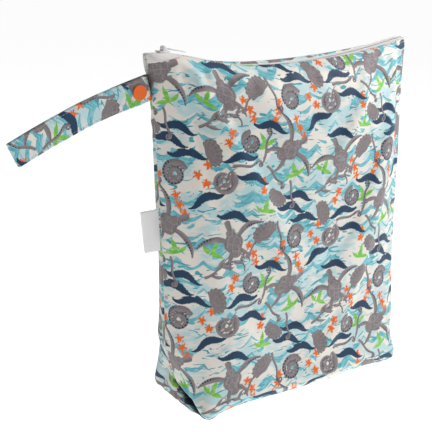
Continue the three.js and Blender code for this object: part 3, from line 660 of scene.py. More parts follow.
def printed_cloth(name, washed=0.0, roughness=0.62):
    made, tree, shader = new_material(name, roughness, Sheen_Weight=0.12, Sheen_Roughness=0.5)
    shader.inputs["Specular IOR Level"].default_value = 0.3
    cloth = put(tree, "ShaderNodeUVMap", uv_map="cloth").outputs[0]
    rough = maths(tree, "MULTIPLY", maths(tree, "SUBTRACT", noise(tree, cloth, 70.0), 0.5), 0.7)
    streak = noise(tree, stretched(tree, cloth, (1.0, 4.0, 1.0)), 9.0, 3.0, 0.4)
    dots = put(tree, "ShaderNodeTexVoronoi", {"Vector": cloth, "Scale": 62.0}).outputs["Distance"]
    colour = sea_ground(tree, cloth, rough, streak, washed)
    colour = plain_motifs(tree, colour, rough, streak)
    colour = grey_limbs(tree, colour, rough, streak)
    colour = plated_shells(tree, colour, cloth, rough, dots)
    colour = ribbed_scallops(tree, colour, rough, dots)
    # Painted shade: the colour is darkened towards near black where a face corner lies deep in a fold or
    # beside the strap's root.
    painted_fold_shade = put(tree, "ShaderNodeAttribute", attribute_name="painted_fold_shade").outputs["Fac"]
    colour = mix(tree, spread(tree, painted_fold_shade, 0.4, 4.0, 0.0, 0.93), colour, PAINTED_SHADE_BLACK)
    tree.links.new(colour, shader.inputs["Base Color"])
    tree.links.new(knitted(tree, cloth), shader.inputs["Normal"])
    return made


bag_print = printed_cloth("printed_cloth")
strap_print = printed_cloth("strap_cloth", washed=0.08)
print("printed cloth:", len(bag_print.node_tree.nodes), "nodes")

# %% [markdown]
# ## The bag
#
# Real cloth over a soft filling never lies as smooth as a solid. Creases run to the
# seams, the stitches gather small puckers under the zip, the base's corners fold, the
# front bulges above the base, and the left seam is the sharp edge of the filled bag.
# The large form comes from the rows and creases, and the sharp folds from lines that
# are pressed in. The small unevenness comes from a cloth simulation on a coarse copy,
# which is then read back on to the fine grid. That grid is finest at the base's
# corners, where the folds are sharp.

# %% Pieces from points
def mesh_piece(name, points, faces, materials, smooth=True):
    """A new piece from points in mm, placed in the frame in metres."""
    mesh = bpy.data.meshes.new(name)
    mesh.from_pydata((np.asarray(points) * MM).tolist(), [], [list(map(int, f)) for f in faces])
    for material in materials:
        mesh.materials.append(material)
    mesh.polygons.foreach_set("use_smooth", [smooth] * len(mesh.polygons))
    mesh.update()
    made = bpy.data.objects.new(name, mesh)
    bpy.context.scene.collection.objects.link(made)
    return made


def select_only(*pieces):
    bpy.ops.object.select_all(action="DESELECT")
    bpy.context.view_layer.objects.active = pieces[0]
    for piece in pieces:
        piece.select_set(True)


def ring(front, back):
    return np.concatenate([front, back[-2:0:-1]])


def tube_faces(rings, around):
    """Quads between rings of points that follow each other."""
    level, i = np.divmod(np.arange((rings - 1) * around), around)
    here, beside = level * around + i, level * around + (i + 1) % around
    return np.stack([here, beside, beside + around, here + around], -1)


def capped_tube(rings, around):
    """The faces of a tube whose two ends are closed."""
    last = (rings - 1) * around
    ends = [list(reversed(range(around))), list(range(last, last + around))]
    return tube_faces(rings, around).tolist() + ends


def lay_flat(piece, places):
    """Gives a strip its cloth map, one place for each of its points."""
    uv = piece.data.uv_layers.new(name="cloth")
    for loop in piece.data.loops:
        uv.data[loop.index].uv = places[loop.vertex_index]


def turn_outwards(piece, merge=0.0):
    """Turns all faces outwards, after points closer than merge, in metres, have become one."""
    select_only(piece)
    bpy.ops.object.mode_set(mode="EDIT")
    bpy.ops.mesh.select_all(action="SELECT")
    if merge:
        bpy.ops.mesh.remove_doubles(threshold=merge)
    bpy.ops.mesh.normals_make_consistent(inside=False)
    bpy.ops.object.mode_set(mode="OBJECT")


# %% Let a coarse copy of the cloth wrinkle
SIM_COLUMNS, SIM_LEVELS, SIM_FRAMES = 48, 50, 24
SIM_GROWTH = 0.025  # the cloth is this share too large for its form, so that it has to wrinkle
WRINKLE_LIMIT = 1.7  # mm
BULGE_PASSES = 12  # of the blur that finds the broad bulge, which is taken off again
FINE_STEP, COARSE_STEP = 1.15, 2.0  # mm between columns and rows, at the base's corners and elsewhere
FINE_SEAM, FINE_BASE = 44.0, 38.0  # mm from a seam and from the base that count as its corners
EDGE_ROWS = 16  # round the soft lower edge


def steps(start, stop, size):
    return np.linspace(start, stop, round((stop - start) / size) + 1)


half = np.concatenate([steps(0, HALF_WIDTH - FINE_SEAM, COARSE_STEP),
                       steps(HALF_WIDTH - FINE_SEAM, HALF_WIDTH, FINE_STEP)[1:]]) / HALF_WIDTH
shares = np.concatenate([-half[:0:-1], half])
round_the_edge = BASE_ROUND * (1 - np.cos(np.linspace(0, math.pi / 2, EDGE_ROWS + 1)[:-1]))
ups = np.concatenate([round_the_edge, steps(BASE_ROUND, FINE_BASE, FINE_STEP),
                      steps(FINE_BASE, BAG_HEIGHT, COARSE_STEP)[1:]]) / BAG_HEIGHT
print("columns:", len(shares), " rows:", len(ups))


def blurred(values, passes):
    for _ in range(passes):
        for axis in (0, 1):
            padded = np.pad(values, [(1, 1) if a == axis else (0, 0) for a in (0, 1)], mode="edge")
            values = (padded.take(range(2, padded.shape[axis]), axis) + values
                      + padded.take(range(padded.shape[axis] - 2), axis)) / 3
    return values


def resampled(values, old, new):
    """Rows at new places of an even grid, on a smooth curve through the old rows."""
    at = (new - old[0]) / (old[1] - old[0])
    i = np.clip(np.floor(at).astype(int), 0, len(old) - 2)
    t = (at - i)[:, None]
    a, b, c, d = (values[np.clip(i + k, 0, len(old) - 1)] for k in (-1, 0, 1, 2))
    return b + 0.5 * t * (c - a + t * (2 * a - 5 * b + 4 * c - d + t * (3 * (b - c) + d - a)))


def simulated():
    """How far the cloth leaves its form, in mm along the way out, for both panels."""
    sim_shares, sim_ups = np.linspace(-1, 1, SIM_COLUMNS + 1), np.linspace(0, 1, SIM_LEVELS + 1)
    grids = {panel: panel_grid(panel, sim_ups, sim_shares) for panel in (-1, 1)}
    start, ways = (np.array([ring(*pair) for pair in zip(grids[-1][k], grids[1][k])]) for k in (0, 1))
    around = start.shape[1]
    trial = mesh_piece("cloth_trial", start.reshape(-1, 3), tube_faces(len(sim_ups), around), [])
    held = trial.vertex_groups.new(name="held")
    edges = list(range(2 * around)) + list(range((SIM_LEVELS - 1) * around, (SIM_LEVELS + 1) * around))
    held.add(edges, 1.0, "REPLACE")
    cloth = trial.modifiers.new("cloth", "CLOTH")
    cloth.settings.vertex_group_mass = held.name
    cloth.settings.quality = 6
    cloth.settings.mass = 0.1
    cloth.settings.tension_stiffness = cloth.settings.shear_stiffness = 12
    cloth.settings.compression_stiffness = 8
    cloth.settings.bending_stiffness = 0.15
    cloth.settings.shrink_min = -SIM_GROWTH
    cloth.settings.use_pressure = True
    cloth.settings.uniform_pressure_force = 0.6
    cloth.collision_settings.use_collision = False
    for frame_number in range(1, SIM_FRAMES + 1):
        bpy.context.scene.frame_set(frame_number)
    select_only(trial)
    bpy.ops.object.modifier_apply(modifier=cloth.name)
    after = np.array([v.co for v in trial.data.vertices]).reshape(start.shape) / MM
    bpy.data.objects.remove(trial)
    bpy.context.scene.frame_set(1)
    left = ((after - start) * ways).sum(-1)
    front = left[:, :SIM_COLUMNS + 1]
    back = np.concatenate([left[:, :1], left[:, SIM_COLUMNS:][:, ::-1]], 1)
    results = {}
    for panel, moved in ((-1, front), (1, back)):
        moved = moved - blurred(moved, BULGE_PASSES)
        moved = WRINKLE_LIMIT * np.tanh(1.3 * moved / WRINKLE_LIMIT)
        fine = resampled(moved, sim_ups, ups)
        results[panel] = resampled(fine.T, sim_shares, shares).T
    return results


wrinkles = {-1: np.zeros((len(ups), len(shares))), 1: np.zeros((len(ups), len(shares)))}
wrinkles = simulated()
for panel, drawn in wrinkles.items():
    print("wrinkles of panel", panel, "from", round(drawn.min(), 2), "to", round(drawn.max(), 2), "mm")

# %% Fine relief of the bag
SEAM_GROOVE, SEAM_GROOVE_WIDTH = 2.0, 1.5
SEAM_PUCKER, SEAM_PUCKER_AT, SEAM_PUCKER_WIDTH = 0.28, 3.5, 4.0  # mm, on both sides of a seam
ZIP_PUCKER, ZIP_PUCKER_REACH, HEM_WIDTH = 0.8, 26.0, 4.0  # mm, in the cloth that the zip gathers
WRINKLE_FADE = 16.0  # mm from every held edge
FOLD_FADE = 4.0  # mm over which a fold sets in above the base
FOLDS = (  # end, then points: mm from the seam (the front is negative), mm up, depth, width
    (-1, ((-39, 3, 6, 3.6), (-31, 9, 8, 4.0), (-16, 17.5, 6, 3.0), (0, 24, 4, 2.2), (12, 28.5, 2, 1.8),
          (26, 34, 0.2, 1.8))),
    (-1, ((-38, 3, 14, 1.5), (-30, 10, 18, 1.7), (-15, 18.5, 14, 1.4), (0, 25, 8, 1.3), (10, 28, 2, 1.3))),
    (1, ((-37, 3, 3, 2.4), (-20, 14, 4, 2.2), (0, 22, 2.5, 2.0), (24, 32, 0.2, 2.0))),
)
BELLY, BELLY_AT, BELLY_WIDTH, BELLY_TALL = 8.0, 25.0, 85.0, 60.0  # the front's bulge above the base, in mm
SEAM_RIDGE = 11.5  # mm that the left seam's sharp edge stands out
RIDGE_FOOT, RIDGE_RISE, RIDGE_TOP, RIDGE_FADE = 18.0, 50.0, 285.0, 150.0  # mm up the seam
RIDGE_FORM = {-1: (40.0, 1.3), 1: (36.0, 2.4)}  # its width in mm and how steeply it falls, front and back


def smooth_step(value):
    value = np.clip(value, 0, 1)
    return value * value * (3 - 2 * value)


def fold_parts(end):
    return [part for side, points in FOLDS if side == end for part in zip(points, points[1:])]


def fold_depth(panel, share, up, wider=0.0):
    """How deep the sharp folds at the base's corners press the cloth in."""
    from_seam, z = (1 - np.abs(share)) * HALF_WIDTH, up * BAG_HEIGHT
    total = np.zeros(np.shape(share))
    for end in (-1, 1):
        deepest = np.zeros(np.shape(share))
        for (x1, z1, depth1, width1), (x2, z2, depth2, width2) in fold_parts(end):
            off_x, off_z, run_x, run_z = panel * from_seam - x1, z - z1, x2 - x1, z2 - z1
            along = np.clip((off_x * run_x + off_z * run_z) / (run_x**2 + run_z**2), 0, 1)
            off = np.hypot(off_x - along * run_x, off_z - along * run_z)
            depth, width = depth1 + along * (depth2 - depth1), width1 + along * (width2 - width1) + wider
            deepest = np.maximum(deepest, depth * np.exp(-((off / width) ** 2)))
        total += deepest * smooth_step(z / FOLD_FADE) * (np.sign(share) == end)
    return total


def seam_ridge(z):
    """How far the left seam stands out as the edge of the filled bag, at a height in mm."""
    rise = smooth_step((z - RIDGE_FOOT) / RIDGE_RISE)
    return SEAM_RIDGE * rise * np.tanh(np.maximum(0, RIDGE_TOP - z) / RIDGE_FADE)


def folds(panel, share, up, wider=0.0):
    """The folds, the seam's edge, the belly above the base and the wrinkles, which both walls follow."""
    from_seam, z = (1 - np.abs(share)) * HALF_WIDTH, up * BAG_HEIGHT
    total = -fold_depth(panel, share, up, wider)
    width, fall = RIDGE_FORM[panel]
    total += seam_ridge(z) * (share < 0) * np.clip(1 - from_seam / width, 0, 1) ** fall
    if panel < 0:
        beside = (share * HALF_WIDTH - BELLY_AT) / BELLY_WIDTH
        total += BELLY * np.exp(-(beside**2) - (z / BELLY_TALL) ** 2)
    row_at = np.interp(up, ups, np.arange(len(ups)))
    below = min(int(row_at), len(ups) - 2)
    line = wrinkles[panel][below] * (1 - row_at + below) + wrinkles[panel][below + 1] * (row_at - below)
    fade = smooth_step(from_seam / WRINKLE_FADE) * smooth_step(z / (4 * WRINKLE_FADE))
    fade = fade * smooth_step((BAG_HEIGHT - z) / WRINKLE_FADE)
    return total + np.interp(share, shares, line) * fade


def relief(panel, share, up):
    """Small forms that stand out from the large shape, in mm: folds, seam, puckers and hem."""
    from_seam = (1 - np.abs(share)) * HALF_WIDTH
    x = share * HALF_WIDTH
    side = np.sign(share)
    groove = -SEAM_GROOVE * np.exp(-((from_seam / SEAM_GROOVE_WIDTH) ** 2))
    beat = np.sin(up * BAG_HEIGHT / 2.3 + side) + 0.6 * np.sin(up * BAG_HEIGHT / 3.9 + 2 * panel)
    seam_puckers = SEAM_PUCKER * beat * np.exp(-(((from_seam - SEAM_PUCKER_AT) / SEAM_PUCKER_WIDTH) ** 2))
    below_zip = (1 - up) * BAG_HEIGHT
    gather = np.exp(-((below_zip / ZIP_PUCKER_REACH) ** 2)) * (1 - np.exp(-((below_zip / HEM_WIDTH) ** 2)))
    waves = np.sin(x / 5.1 + 1.4 * np.sin(x / 23 + panel)) + 0.7 * np.sin(x / 8.3 + 2 * panel)
    ends = 0.35 + 0.65 * np.abs(share) ** 3
    zip_puckers = ZIP_PUCKER * waves * gather * ends
    return groove + seam_puckers + zip_puckers + folds(panel, share, up)


panels = {panel: panel_grid(panel, ups, shares, relief=relief)[0] for panel in (-1, 1)}
print("grid of", len(ups), "rows by", len(shares), "columns on each panel")


# %% Rings of the outer and the inner wall
def gathered(points, share, centre):
    """A ring drawn in towards the base's middle line."""
    target = points.copy()
    target[:, 0] = np.clip(points[:, 0], -centre, centre)
    target[:, 1] = 0
    return points + (target - points) * share


BASE_RINGS = 12
INNER_LEVELS = 56
INNER_WIDER = 2.5  # mm, so that the folds of the outer wall keep clear of the inner one
MIDDLE_LINE = 78.0
STRAP_WIDTH, STRAP_BELOW_TOP = 21.0, 26.5
# Painted shade: ROOT_SHADE sets how wide a dark band is painted into the cloth beside the strap's root.
ROOT_SHADE = 2.4  # mm of shade in the nook beside the strap's root
outer = [ring(panels[-1][i], panels[1][i]) for i in range(len(ups))]
under = [gathered(outer[0], s, MIDDLE_LINE) for s in np.linspace(1, 0, BASE_RINGS + 1)[:-1]]
inner_ups = np.linspace(1, 0, INNER_LEVELS + 1)


def inner_folds(panel, share, up):
    return folds(panel, share, up, INNER_WIDER)


inner_panels = {p: panel_grid(p, inner_ups, shares, wall=CLOTH_WALL, relief=inner_folds)[0] for p in (-1, 1)}
inner = [ring(inner_panels[-1][i], inner_panels[1][i]) for i in range(len(inner_ups))]
inside_floor = [gathered(inner[-1], s, MIDDLE_LINE) for s in np.linspace(0, 1, 4)[1:]]
rings = np.array(under + outer + inner + inside_floor)
around = rings.shape[1]
print("rings:", len(rings), "of", around)

# %% Make the shell and lay the print on it
FRONT_COLUMNS = len(shares)
first_outer = len(under)
last_outer = first_outer + len(outer) - 1
flat_x = np.concatenate([shares, shares[-2:0:-1]]) * HALF_WIDTH
quads = tube_faces(len(rings), around)

flat_up = np.zeros(len(rings))
below_round = [float(BASE_ROUND * (base_angle(up) - math.pi / 2) + BASE_ROUND) for up in ups]
flat_up[first_outer:last_outer + 1] = np.where(ups * BAG_HEIGHT < BASE_ROUND, below_round, ups * BAG_HEIGHT)
flat_up[:first_outer] = flat_up[first_outer] - np.linspace(HALF_DEPTH - BASE_ROUND, 0, BASE_RINGS + 1)[:-1]
BACK_SHIFT = (23.0, 41.0)  # the back panel's print starts elsewhere in the repeat


def cloth_places(column, level, back):
    """Places in mm on the flat cloth of ring points, seen from the front or the back panel."""
    x = flat_x[column]
    y = flat_up[level]
    return np.stack([np.where(back, BACK_SHIFT[0] - x, x), np.where(back, y + BACK_SHIFT[1], y)], -1)


level_of, column_of = np.divmod(quads, around)
back_face = (column_of.max(1) >= FRONT_COLUMNS) | ((column_of.max(1) - column_of.min(1)) > 2)
places = cloth_places(column_of, level_of, back_face[:, None])
inner_face = level_of.min(1) >= last_outer

lining, tree, shader = new_material("white_lining", 0.5)
cloudy = noise(tree, put(tree, "ShaderNodeTexCoord").outputs["Object"], 120.0)
tree.links.new(mix(tree, cloudy, srgb(232, 232, 230), srgb(240, 240, 238)), shader.inputs["Base Color"])
tree.links.new(bumped(tree, cloudy, 0.0002, 0.3), shader.inputs["Normal"])

bag = mesh_piece("bag", rings.reshape(-1, 3), quads, [bag_print, lining])
bag.data.polygons.foreach_set("material_index", inner_face.astype(np.int32))
store_print(bag.data, places.reshape(-1, 2))
# Painted shade: each face corner stores how deep it lies in a fold, plus a band beside the strap's root, and
# the cloth's colour is darkened there.
painted_fold_shade = np.zeros(rings.shape[:2])
root_shade_across = 4 * np.exp(-(((shares + 1) * HALF_WIDTH / ROOT_SHADE) ** 2))
for i, up in enumerate(ups):
    off_root = abs(up * BAG_HEIGHT - (BAG_HEIGHT - STRAP_BELOW_TOP))
    painted_root_shade = root_shade_across * smooth_step((STRAP_WIDTH / 2 + 1 - off_root) / 2)
    painted_fold_shade[first_outer + i] = ring(fold_depth(-1, shares, up) + painted_root_shade, fold_depth(1, shares, up) + painted_root_shade)
store_painted_shade(bag.data, painted_fold_shade[level_of, column_of].ravel())
turn_outwards(bag, merge=0.00002)
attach(bag, "bag")
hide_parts("bag_cloth")
print("bag:", len(bag.data.polygons), "faces")

# %% [markdown]
# ## Stitches
#
# On the real bag a line of thread holds the zip to each rim, and another runs round the
# strap. A stitch is a short thread that dips into the cloth at both ends. One is
# modelled as a stretched little ball and then copied along each seam, because a curve
# with a bevel would not dip, and hundreds of separate objects would be slow.

# %% A stitch and a helper that copies it
STITCH_LENGTH, STITCH_PITCH, THREAD = 2.3, 3.0, 0.5


def template(piece):
    """Points in mm and faces of a piece that is to be copied. The piece itself goes."""
    points = np.array([v.co for v in piece.data.vertices]) / MM
    faces = [tuple(f.vertices) for f in piece.data.polygons]
    bpy.data.objects.remove(piece)
    return points, faces


def copies(name, pattern, spots, material):
    """One piece made of a pattern copied to spots of place, along and up."""
    points, faces = pattern
    all_points, all_faces = [], []
    for place, along, up in spots:
        across = np.cross(up, along)
        across /= np.linalg.norm(across)
        up = np.cross(along, across)
        all_faces += [tuple(i + len(all_points) * len(points) for i in f) for f in faces]
        all_points.append(place + points @ np.array([along, across, up]))
    made = mesh_piece(name, np.concatenate(all_points), all_faces, [material])
    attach(made, "bag")
    return made


bpy.ops.mesh.primitive_uv_sphere_add(segments=6, ring_count=5, radius=THREAD / 2 * MM)
bpy.ops.transform.resize(value=(STITCH_LENGTH / THREAD, 1.0, 0.8))
bpy.ops.object.transform_apply(location=True, rotation=True, scale=True)
stitch = template(bpy.context.object)
print("a stitch has", len(stitch[1]), "faces")


# %% Thread, tape and nylon materials
def thread(name, light, dark):
    made, tree, shader = new_material(name, 0.6, Sheen_Weight=0.15)
    place = put(tree, "ShaderNodeTexCoord").outputs["Object"]
    twist = noise(tree, place, 2200.0, 1.0)
    tree.links.new(mix(tree, twist, dark, light), shader.inputs["Base Color"])
    tree.links.new(bumped(tree, twist, 0.0001, 0.6), shader.inputs["Normal"])
    return made


def woven_tape():
    """White tape: fine ribs across its width and a few cords along it."""
    made, tree, shader = new_material("white_tape", 0.7, Sheen_Weight=0.1)
    cloth = put(tree, "ShaderNodeUVMap", uv_map="cloth").outputs[0]
    ribs = put(tree, "ShaderNodeTexWave", {"Vector": cloth, "Scale": 28.0, "Distortion": 0.4}).outputs["Fac"]
    cords = put(tree, "ShaderNodeTexWave", {"Vector": cloth, "Scale": 22.0, "Distortion": 0.1},
                bands_direction="Y").outputs["Fac"]
    weave = maths(tree, "ADD", maths(tree, "MULTIPLY", ribs, 0.35), cords)
    soiled = noise(tree, cloth, 5.0, 3.0)
    light = mix(tree, soiled, srgb(240, 236, 233), srgb(250, 248, 246))
    tree.links.new(mix(tree, maths(tree, "MULTIPLY", weave, 0.7), srgb(216, 211, 208), light),
                   shader.inputs["Base Color"])
    tree.links.new(bumped(tree, weave, 0.0002, 0.7), shader.inputs["Normal"])
    return made


def moulded(name, light, dark, roughness, depth=0.00003, scale=900.0, **constants):
    """Moulded nylon, enamel or acetal: nearly one colour, with a very fine skin."""
    made, tree, shader = new_material(name, roughness, **constants)
    place = put(tree, "ShaderNodeTexCoord").outputs["Object"]
    skin = noise(tree, place, scale, 3.0)
    tree.links.new(mix(tree, skin, dark, light), shader.inputs["Base Color"])
    tree.links.new(bumped(tree, skin, depth, 0.5), shader.inputs["Normal"])
    uneven = noise(tree, place, scale / 4, 2.0)
    worn = spread(tree, uneven, 0.3, 0.7, roughness - 0.05, roughness + 0.07)
    tree.links.new(worn, shader.inputs["Roughness"])
    return made


white_thread = thread("white_thread", srgb(232, 232, 230), srgb(200, 200, 198))
aqua_thread = thread("aqua_thread", srgb(170, 190, 192), srgb(120, 140, 144))
tape_cloth = woven_tape()
white_nylon = moulded("white_nylon", srgb(238, 237, 235), srgb(222, 221, 220), 0.4)
white_enamel = moulded("white_enamel", srgb(250, 250, 250), srgb(240, 240, 241), 0.28, Coat_Weight=0.3,
                       Coat_Roughness=0.15)
orange_acetal = moulded("orange_acetal", srgb(238, 106, 0), srgb(220, 88, 0), 0.45, 0.00008, 700.0)
print("small finishes made")


# %% Stitches under the zip
HEM_STITCH_BELOW = 3.4  # the line of stitches, below the rim, along the cloth
STITCH_SINK = 0.05


def on_cloth(panel, up, share):
    """The place on the bag's grid at a height and a share, with the ways along and out."""
    i = np.interp(up, ups, np.arange(len(ups)))
    j = np.interp(share, shares, np.arange(len(shares)))

    def read(a, b):
        a, b = np.clip(a, 0, len(ups) - 1.001), np.clip(b, 0, len(shares) - 1.001)
        m, n = int(a), int(b)
        p, q = a - m, b - n
        g = panels[panel]
        return ((1 - p) * ((1 - q) * g[m, n] + q * g[m, n + 1])
                + p * ((1 - q) * g[m + 1, n] + q * g[m + 1, n + 1]))

    place = read(i, j)
    along = read(i, j + 0.7) - read(i, j - 0.7)
    upwards = read(i + 0.7, j) - read(i - 0.7, j)
    along /= np.linalg.norm(along)
    out = np.cross(along, upwards) * -panel
    return place, along, out / np.linalg.norm(out)


spots = []
for panel in (-1, 1):
    for share in np.arange(-0.965, 0.966, STITCH_PITCH / HALF_WIDTH):
        place, along, out = on_cloth(panel, 1 - HEM_STITCH_BELOW / BAG_HEIGHT, share)
        spots.append((place + out * STITCH_SINK, along, out))
hem_stitches = copies("hem_stitches", stitch, spots, white_thread)
print("hem stitches:", len(spots))

# %% [markdown]
# ## The zip
#
# Two woven tapes carry a nylon coil. Each tape is cloth, so it is a lofted strip with
# thickness that bends with the rim. The coil is one loop, modelled from a torus and
# copied to both sides in turn, which is how a closed zip meshes. The slider and the
# pull have the right shape in CAD, so copies of them only get rounded edges.

# %% Zip tapes
TEETH_HALF = 1.5
rim_front = panels[-1][-1]
rim_inner = inner_panels[-1][0]
RIM_PLACES = rim_inner[:, 0]


def rim_height(x):
    return (np.interp(x, rim_front[:, 0], rim_front[:, 2]) + np.interp(x, RIM_PLACES, rim_inner[:, 2])) / 2


def half_opening(x):
    outside = np.interp(x, rim_front[:, 0], -rim_front[:, 1])
    return np.minimum(outside, np.interp(x, RIM_PLACES, -rim_inner[:, 1])) - GAP


TAPE_SECTION = (  # share of the tape's width from the coil, height in mm over its middle
    (0.0, -0.35), (0.0, 0.35), (0.06, 0.55), (0.16, 0.5), (0.24, 0.3), (0.4, 0.28), (0.55, 0.3), (0.7, 0.27),
    (0.85, 0.3), (1.0, 0.3), (1.0, -0.4), (0.6, -0.4), (0.3, -0.4),
)


def zip_tape(name, side, node):
    low, high = (np.array(c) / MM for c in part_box(node))
    xs = np.linspace(low[0], high[0], 170)
    wide = half_opening(xs) - TEETH_HALF - GAP
    waves = 0.18 * np.sin(xs / 4.2) + 0.12 * np.sin(xs / 7.1)
    points, flat = [], []
    for x, w, z, wave in zip(xs, wide, rim_height(xs), waves):
        for share, height in TAPE_SECTION:
            lift = height + wave * math.sin(math.pi * share) * 0.6
            points.append((x, side * (TEETH_HALF + GAP + share * w), z + lift))
            flat.append((x / 100, share * w / 100))
    made = mesh_piece(name, points, capped_tube(len(xs), len(TAPE_SECTION)), [tape_cloth])
    lay_flat(made, flat)
    turn_outwards(made)
    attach(made, "bag")
    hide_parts(node)
    return made


tapes = [zip_tape("tape_front", -1, "zip_tape_front"), zip_tape("tape_back", 1, "zip_tape_back")]
print("tapes:", [len(t.data.polygons) for t in tapes], "faces")

# %% The tape's end on the left ear
EAR_REACH, EAR_DROP = 36.0, 7.5  # mm along the rim and down the cloth
EAR_LIFT, EAR_THICKNESS = 0.75, 0.5


def ear_drop(share):
    """How far the tape hangs down the front at a share, in mm."""
    reach = np.clip(1 - (share + 1) * HALF_WIDTH / EAR_REACH, 0, 1)
    return EAR_DROP * reach**0.6


points, flat = [], []
drops = np.linspace(0, 1, 8)
ear_shares = np.linspace(-0.985, -1 + 0.97 * EAR_REACH / HALF_WIDTH, 30)
for share in ear_shares:
    rim = on_cloth(-1, 1.0, share)[0]
    inside = np.array([rim[0], -float(half_opening(rim[0])) + 0.6, rim[2] + 0.1])
    line = [(inside, np.array([0, 0, 1.0])), (rim + (0, 0.3, 0.2), np.array([0, -0.3, 0.95]))]
    for drop in drops:
        place, _, out = on_cloth(-1, 1 - (0.4 + drop * ear_drop(share)) / BAG_HEIGHT, share)
        line.append((place, out))
    upper = [place + way * EAR_LIFT for place, way in line]
    lower = [place + way * (EAR_LIFT - EAR_THICKNESS) for place, way in line]
    points += upper + lower[::-1]
    across = [(share, k * 0.01) for k in range(len(line))]
    flat += across + across[::-1]
ear = mesh_piece("tape_ear", points, capped_tube(len(ear_shares), 2 * (len(drops) + 2)), [tape_cloth])
lay_flat(ear, flat)
turn_outwards(ear)
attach(ear, "bag")
print("ear of tape:", len(ear.data.polygons), "faces")

# %% Zip coil
COIL_PITCH, COIL_WIRE = 1.3, 0.36
COIL_HALF_WIDTH, COIL_HALF_HEIGHT = 1.1, 1.0
COIL_OFFSET = 0.3  # each side's loops from the zip's middle

bpy.ops.mesh.primitive_torus_add(major_segments=10, minor_segments=5, minor_radius=COIL_WIRE * MM,
                                 major_radius=(COIL_HALF_HEIGHT - COIL_WIRE) * MM)
bpy.ops.transform.resize(value=(COIL_HALF_WIDTH / COIL_HALF_HEIGHT, 1.0, 1.0))
bpy.ops.transform.rotate(value=math.pi / 2, orient_axis="X", center_override=(0, 0, 0))
bpy.ops.object.transform_apply(location=True, rotation=True, scale=True)
loop = template(bpy.context.object)
low, high = (np.array(c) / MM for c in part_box("zip_teeth"))
spots = []
for number, x in enumerate(np.arange(low[0] + 0.5, high[0] - 0.4, COIL_PITCH)):
    side = 1 if number % 2 else -1
    slope = float(rim_height(x + 1) - rim_height(x - 1)) / 2
    along = np.array([1, 0, slope]) / math.hypot(1, slope)
    place = np.array([x, side * COIL_OFFSET, float(rim_height(x))])
    spots.append((place, np.array([0.18, side, 0]) / math.hypot(0.18, 1), np.array([-along[2], 0, along[0]])))
coil = copies("zip_coil", loop, spots, white_nylon)
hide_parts("zip_teeth")
print("coil loops:", len(spots), " faces:", len(coil.data.polygons))


# %% Slider and pull with rounded edges
def rounded_copy(name, node, material, body, radius=0.22):
    made = bpy.data.objects.new(name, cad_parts[node].data.copy())
    bpy.context.scene.collection.objects.link(made)
    select_only(made)
    bpy.ops.object.mode_set(mode="EDIT")
    bpy.ops.mesh.select_all(action="SELECT")
    bpy.ops.mesh.remove_doubles(threshold=0.000001)
    bpy.ops.mesh.dissolve_limited(angle_limit=math.radians(4))
    bpy.ops.object.mode_set(mode="OBJECT")
    bevel = made.modifiers.new("rounded edges", "BEVEL")
    bevel.width, bevel.segments, bevel.angle_limit = radius * MM, 2, math.radians(30)
    bpy.ops.object.modifier_apply(modifier=bevel.name)
    bpy.ops.object.shade_smooth_by_angle(angle=math.radians(40))
    made.data.materials.clear()
    made.data.materials.append(material)
    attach(made, body)
    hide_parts(node)
    print(name, len(made.data.polygons), "faces")
    return made


rounded_copy("slider", "zip_slider", white_enamel, "bag")
rounded_copy("pull_tab", "zip_pull", white_enamel, "pull")

# %% [markdown]
# ## The hand strap
#
# A long piece of the same cloth is folded to a band, stitched along both edges, sewn
# into the side seam and folded back on itself, where a snap holds it. A flat strap
# keeps its width, so it is lofted directly: one section, with soft round edges and a
# shallow groove under each stitch line, follows the band's middle line out to the fold
# and back. The print runs lengthways on it, and one row of stitches crosses it near
# the fold.

# %% The strap's line
STRAP_PLY, STRAP_FOLD_PARTING = 2.0, 0.05
STRAP_REACH, STRAP_DROP, STRAP_SAG = 119.0, 42.0, 3.6
STRAP_END_GAP = 1.2
SNAP_PARTING, SNAP_FROM_ROOT = 3.4, 11.5
STRAP_RIPPLE = 0.35  # how much the band wavers out of its plane
STRAP_PRINT_AT = (67.0, 22.0)  # the place on the print, in mm, where the band was cut


def seam_edge(z):
    return -row("left", np.clip(z / BAG_HEIGHT, 0, 1)) * HALF_WIDTH - seam_ridge(z) - GAP


strap_root_height = BAG_HEIGHT - STRAP_BELOW_TOP
snap_share = SNAP_FROM_ROOT / STRAP_REACH


def strap_line(share):
    rise = STRAP_SAG * math.sin(math.pi * share)
    return np.array([float(seam_edge(strap_root_height)) - share * STRAP_REACH, 0.0,
                     strap_root_height - share * STRAP_DROP + rise])


def half_spread(share):
    near = math.exp(-(((share - snap_share) / 0.12) ** 2))
    return (STRAP_FOLD_PARTING + (SNAP_PARTING - STRAP_FOLD_PARTING) * near + STRAP_PLY) / 2


SIDE_STEPS, FOLD_STEPS = 100, 10
fold_share = half_spread(1) / STRAP_REACH
sides = [(share, 0.0) for share in np.linspace(0, 1 - fold_share, SIDE_STEPS)]
bend = [(1 - fold_share + fold_share * math.sin(turn), turn)
        for turn in np.linspace(0, math.pi, FOLD_STEPS + 1)[1:-1]]
stations = sides + bend + [(share, math.pi) for share, _ in reversed(sides)]
print("strap stations:", len(stations), " fold at", round(strap_line(1)[0]), "mm")

# %% Loft the strap
EDGE_SOFT = 1.1  # width of the rounded edge
STITCH_IN = 2.2  # the stitch lines, from the edges
GROOVE = 0.3


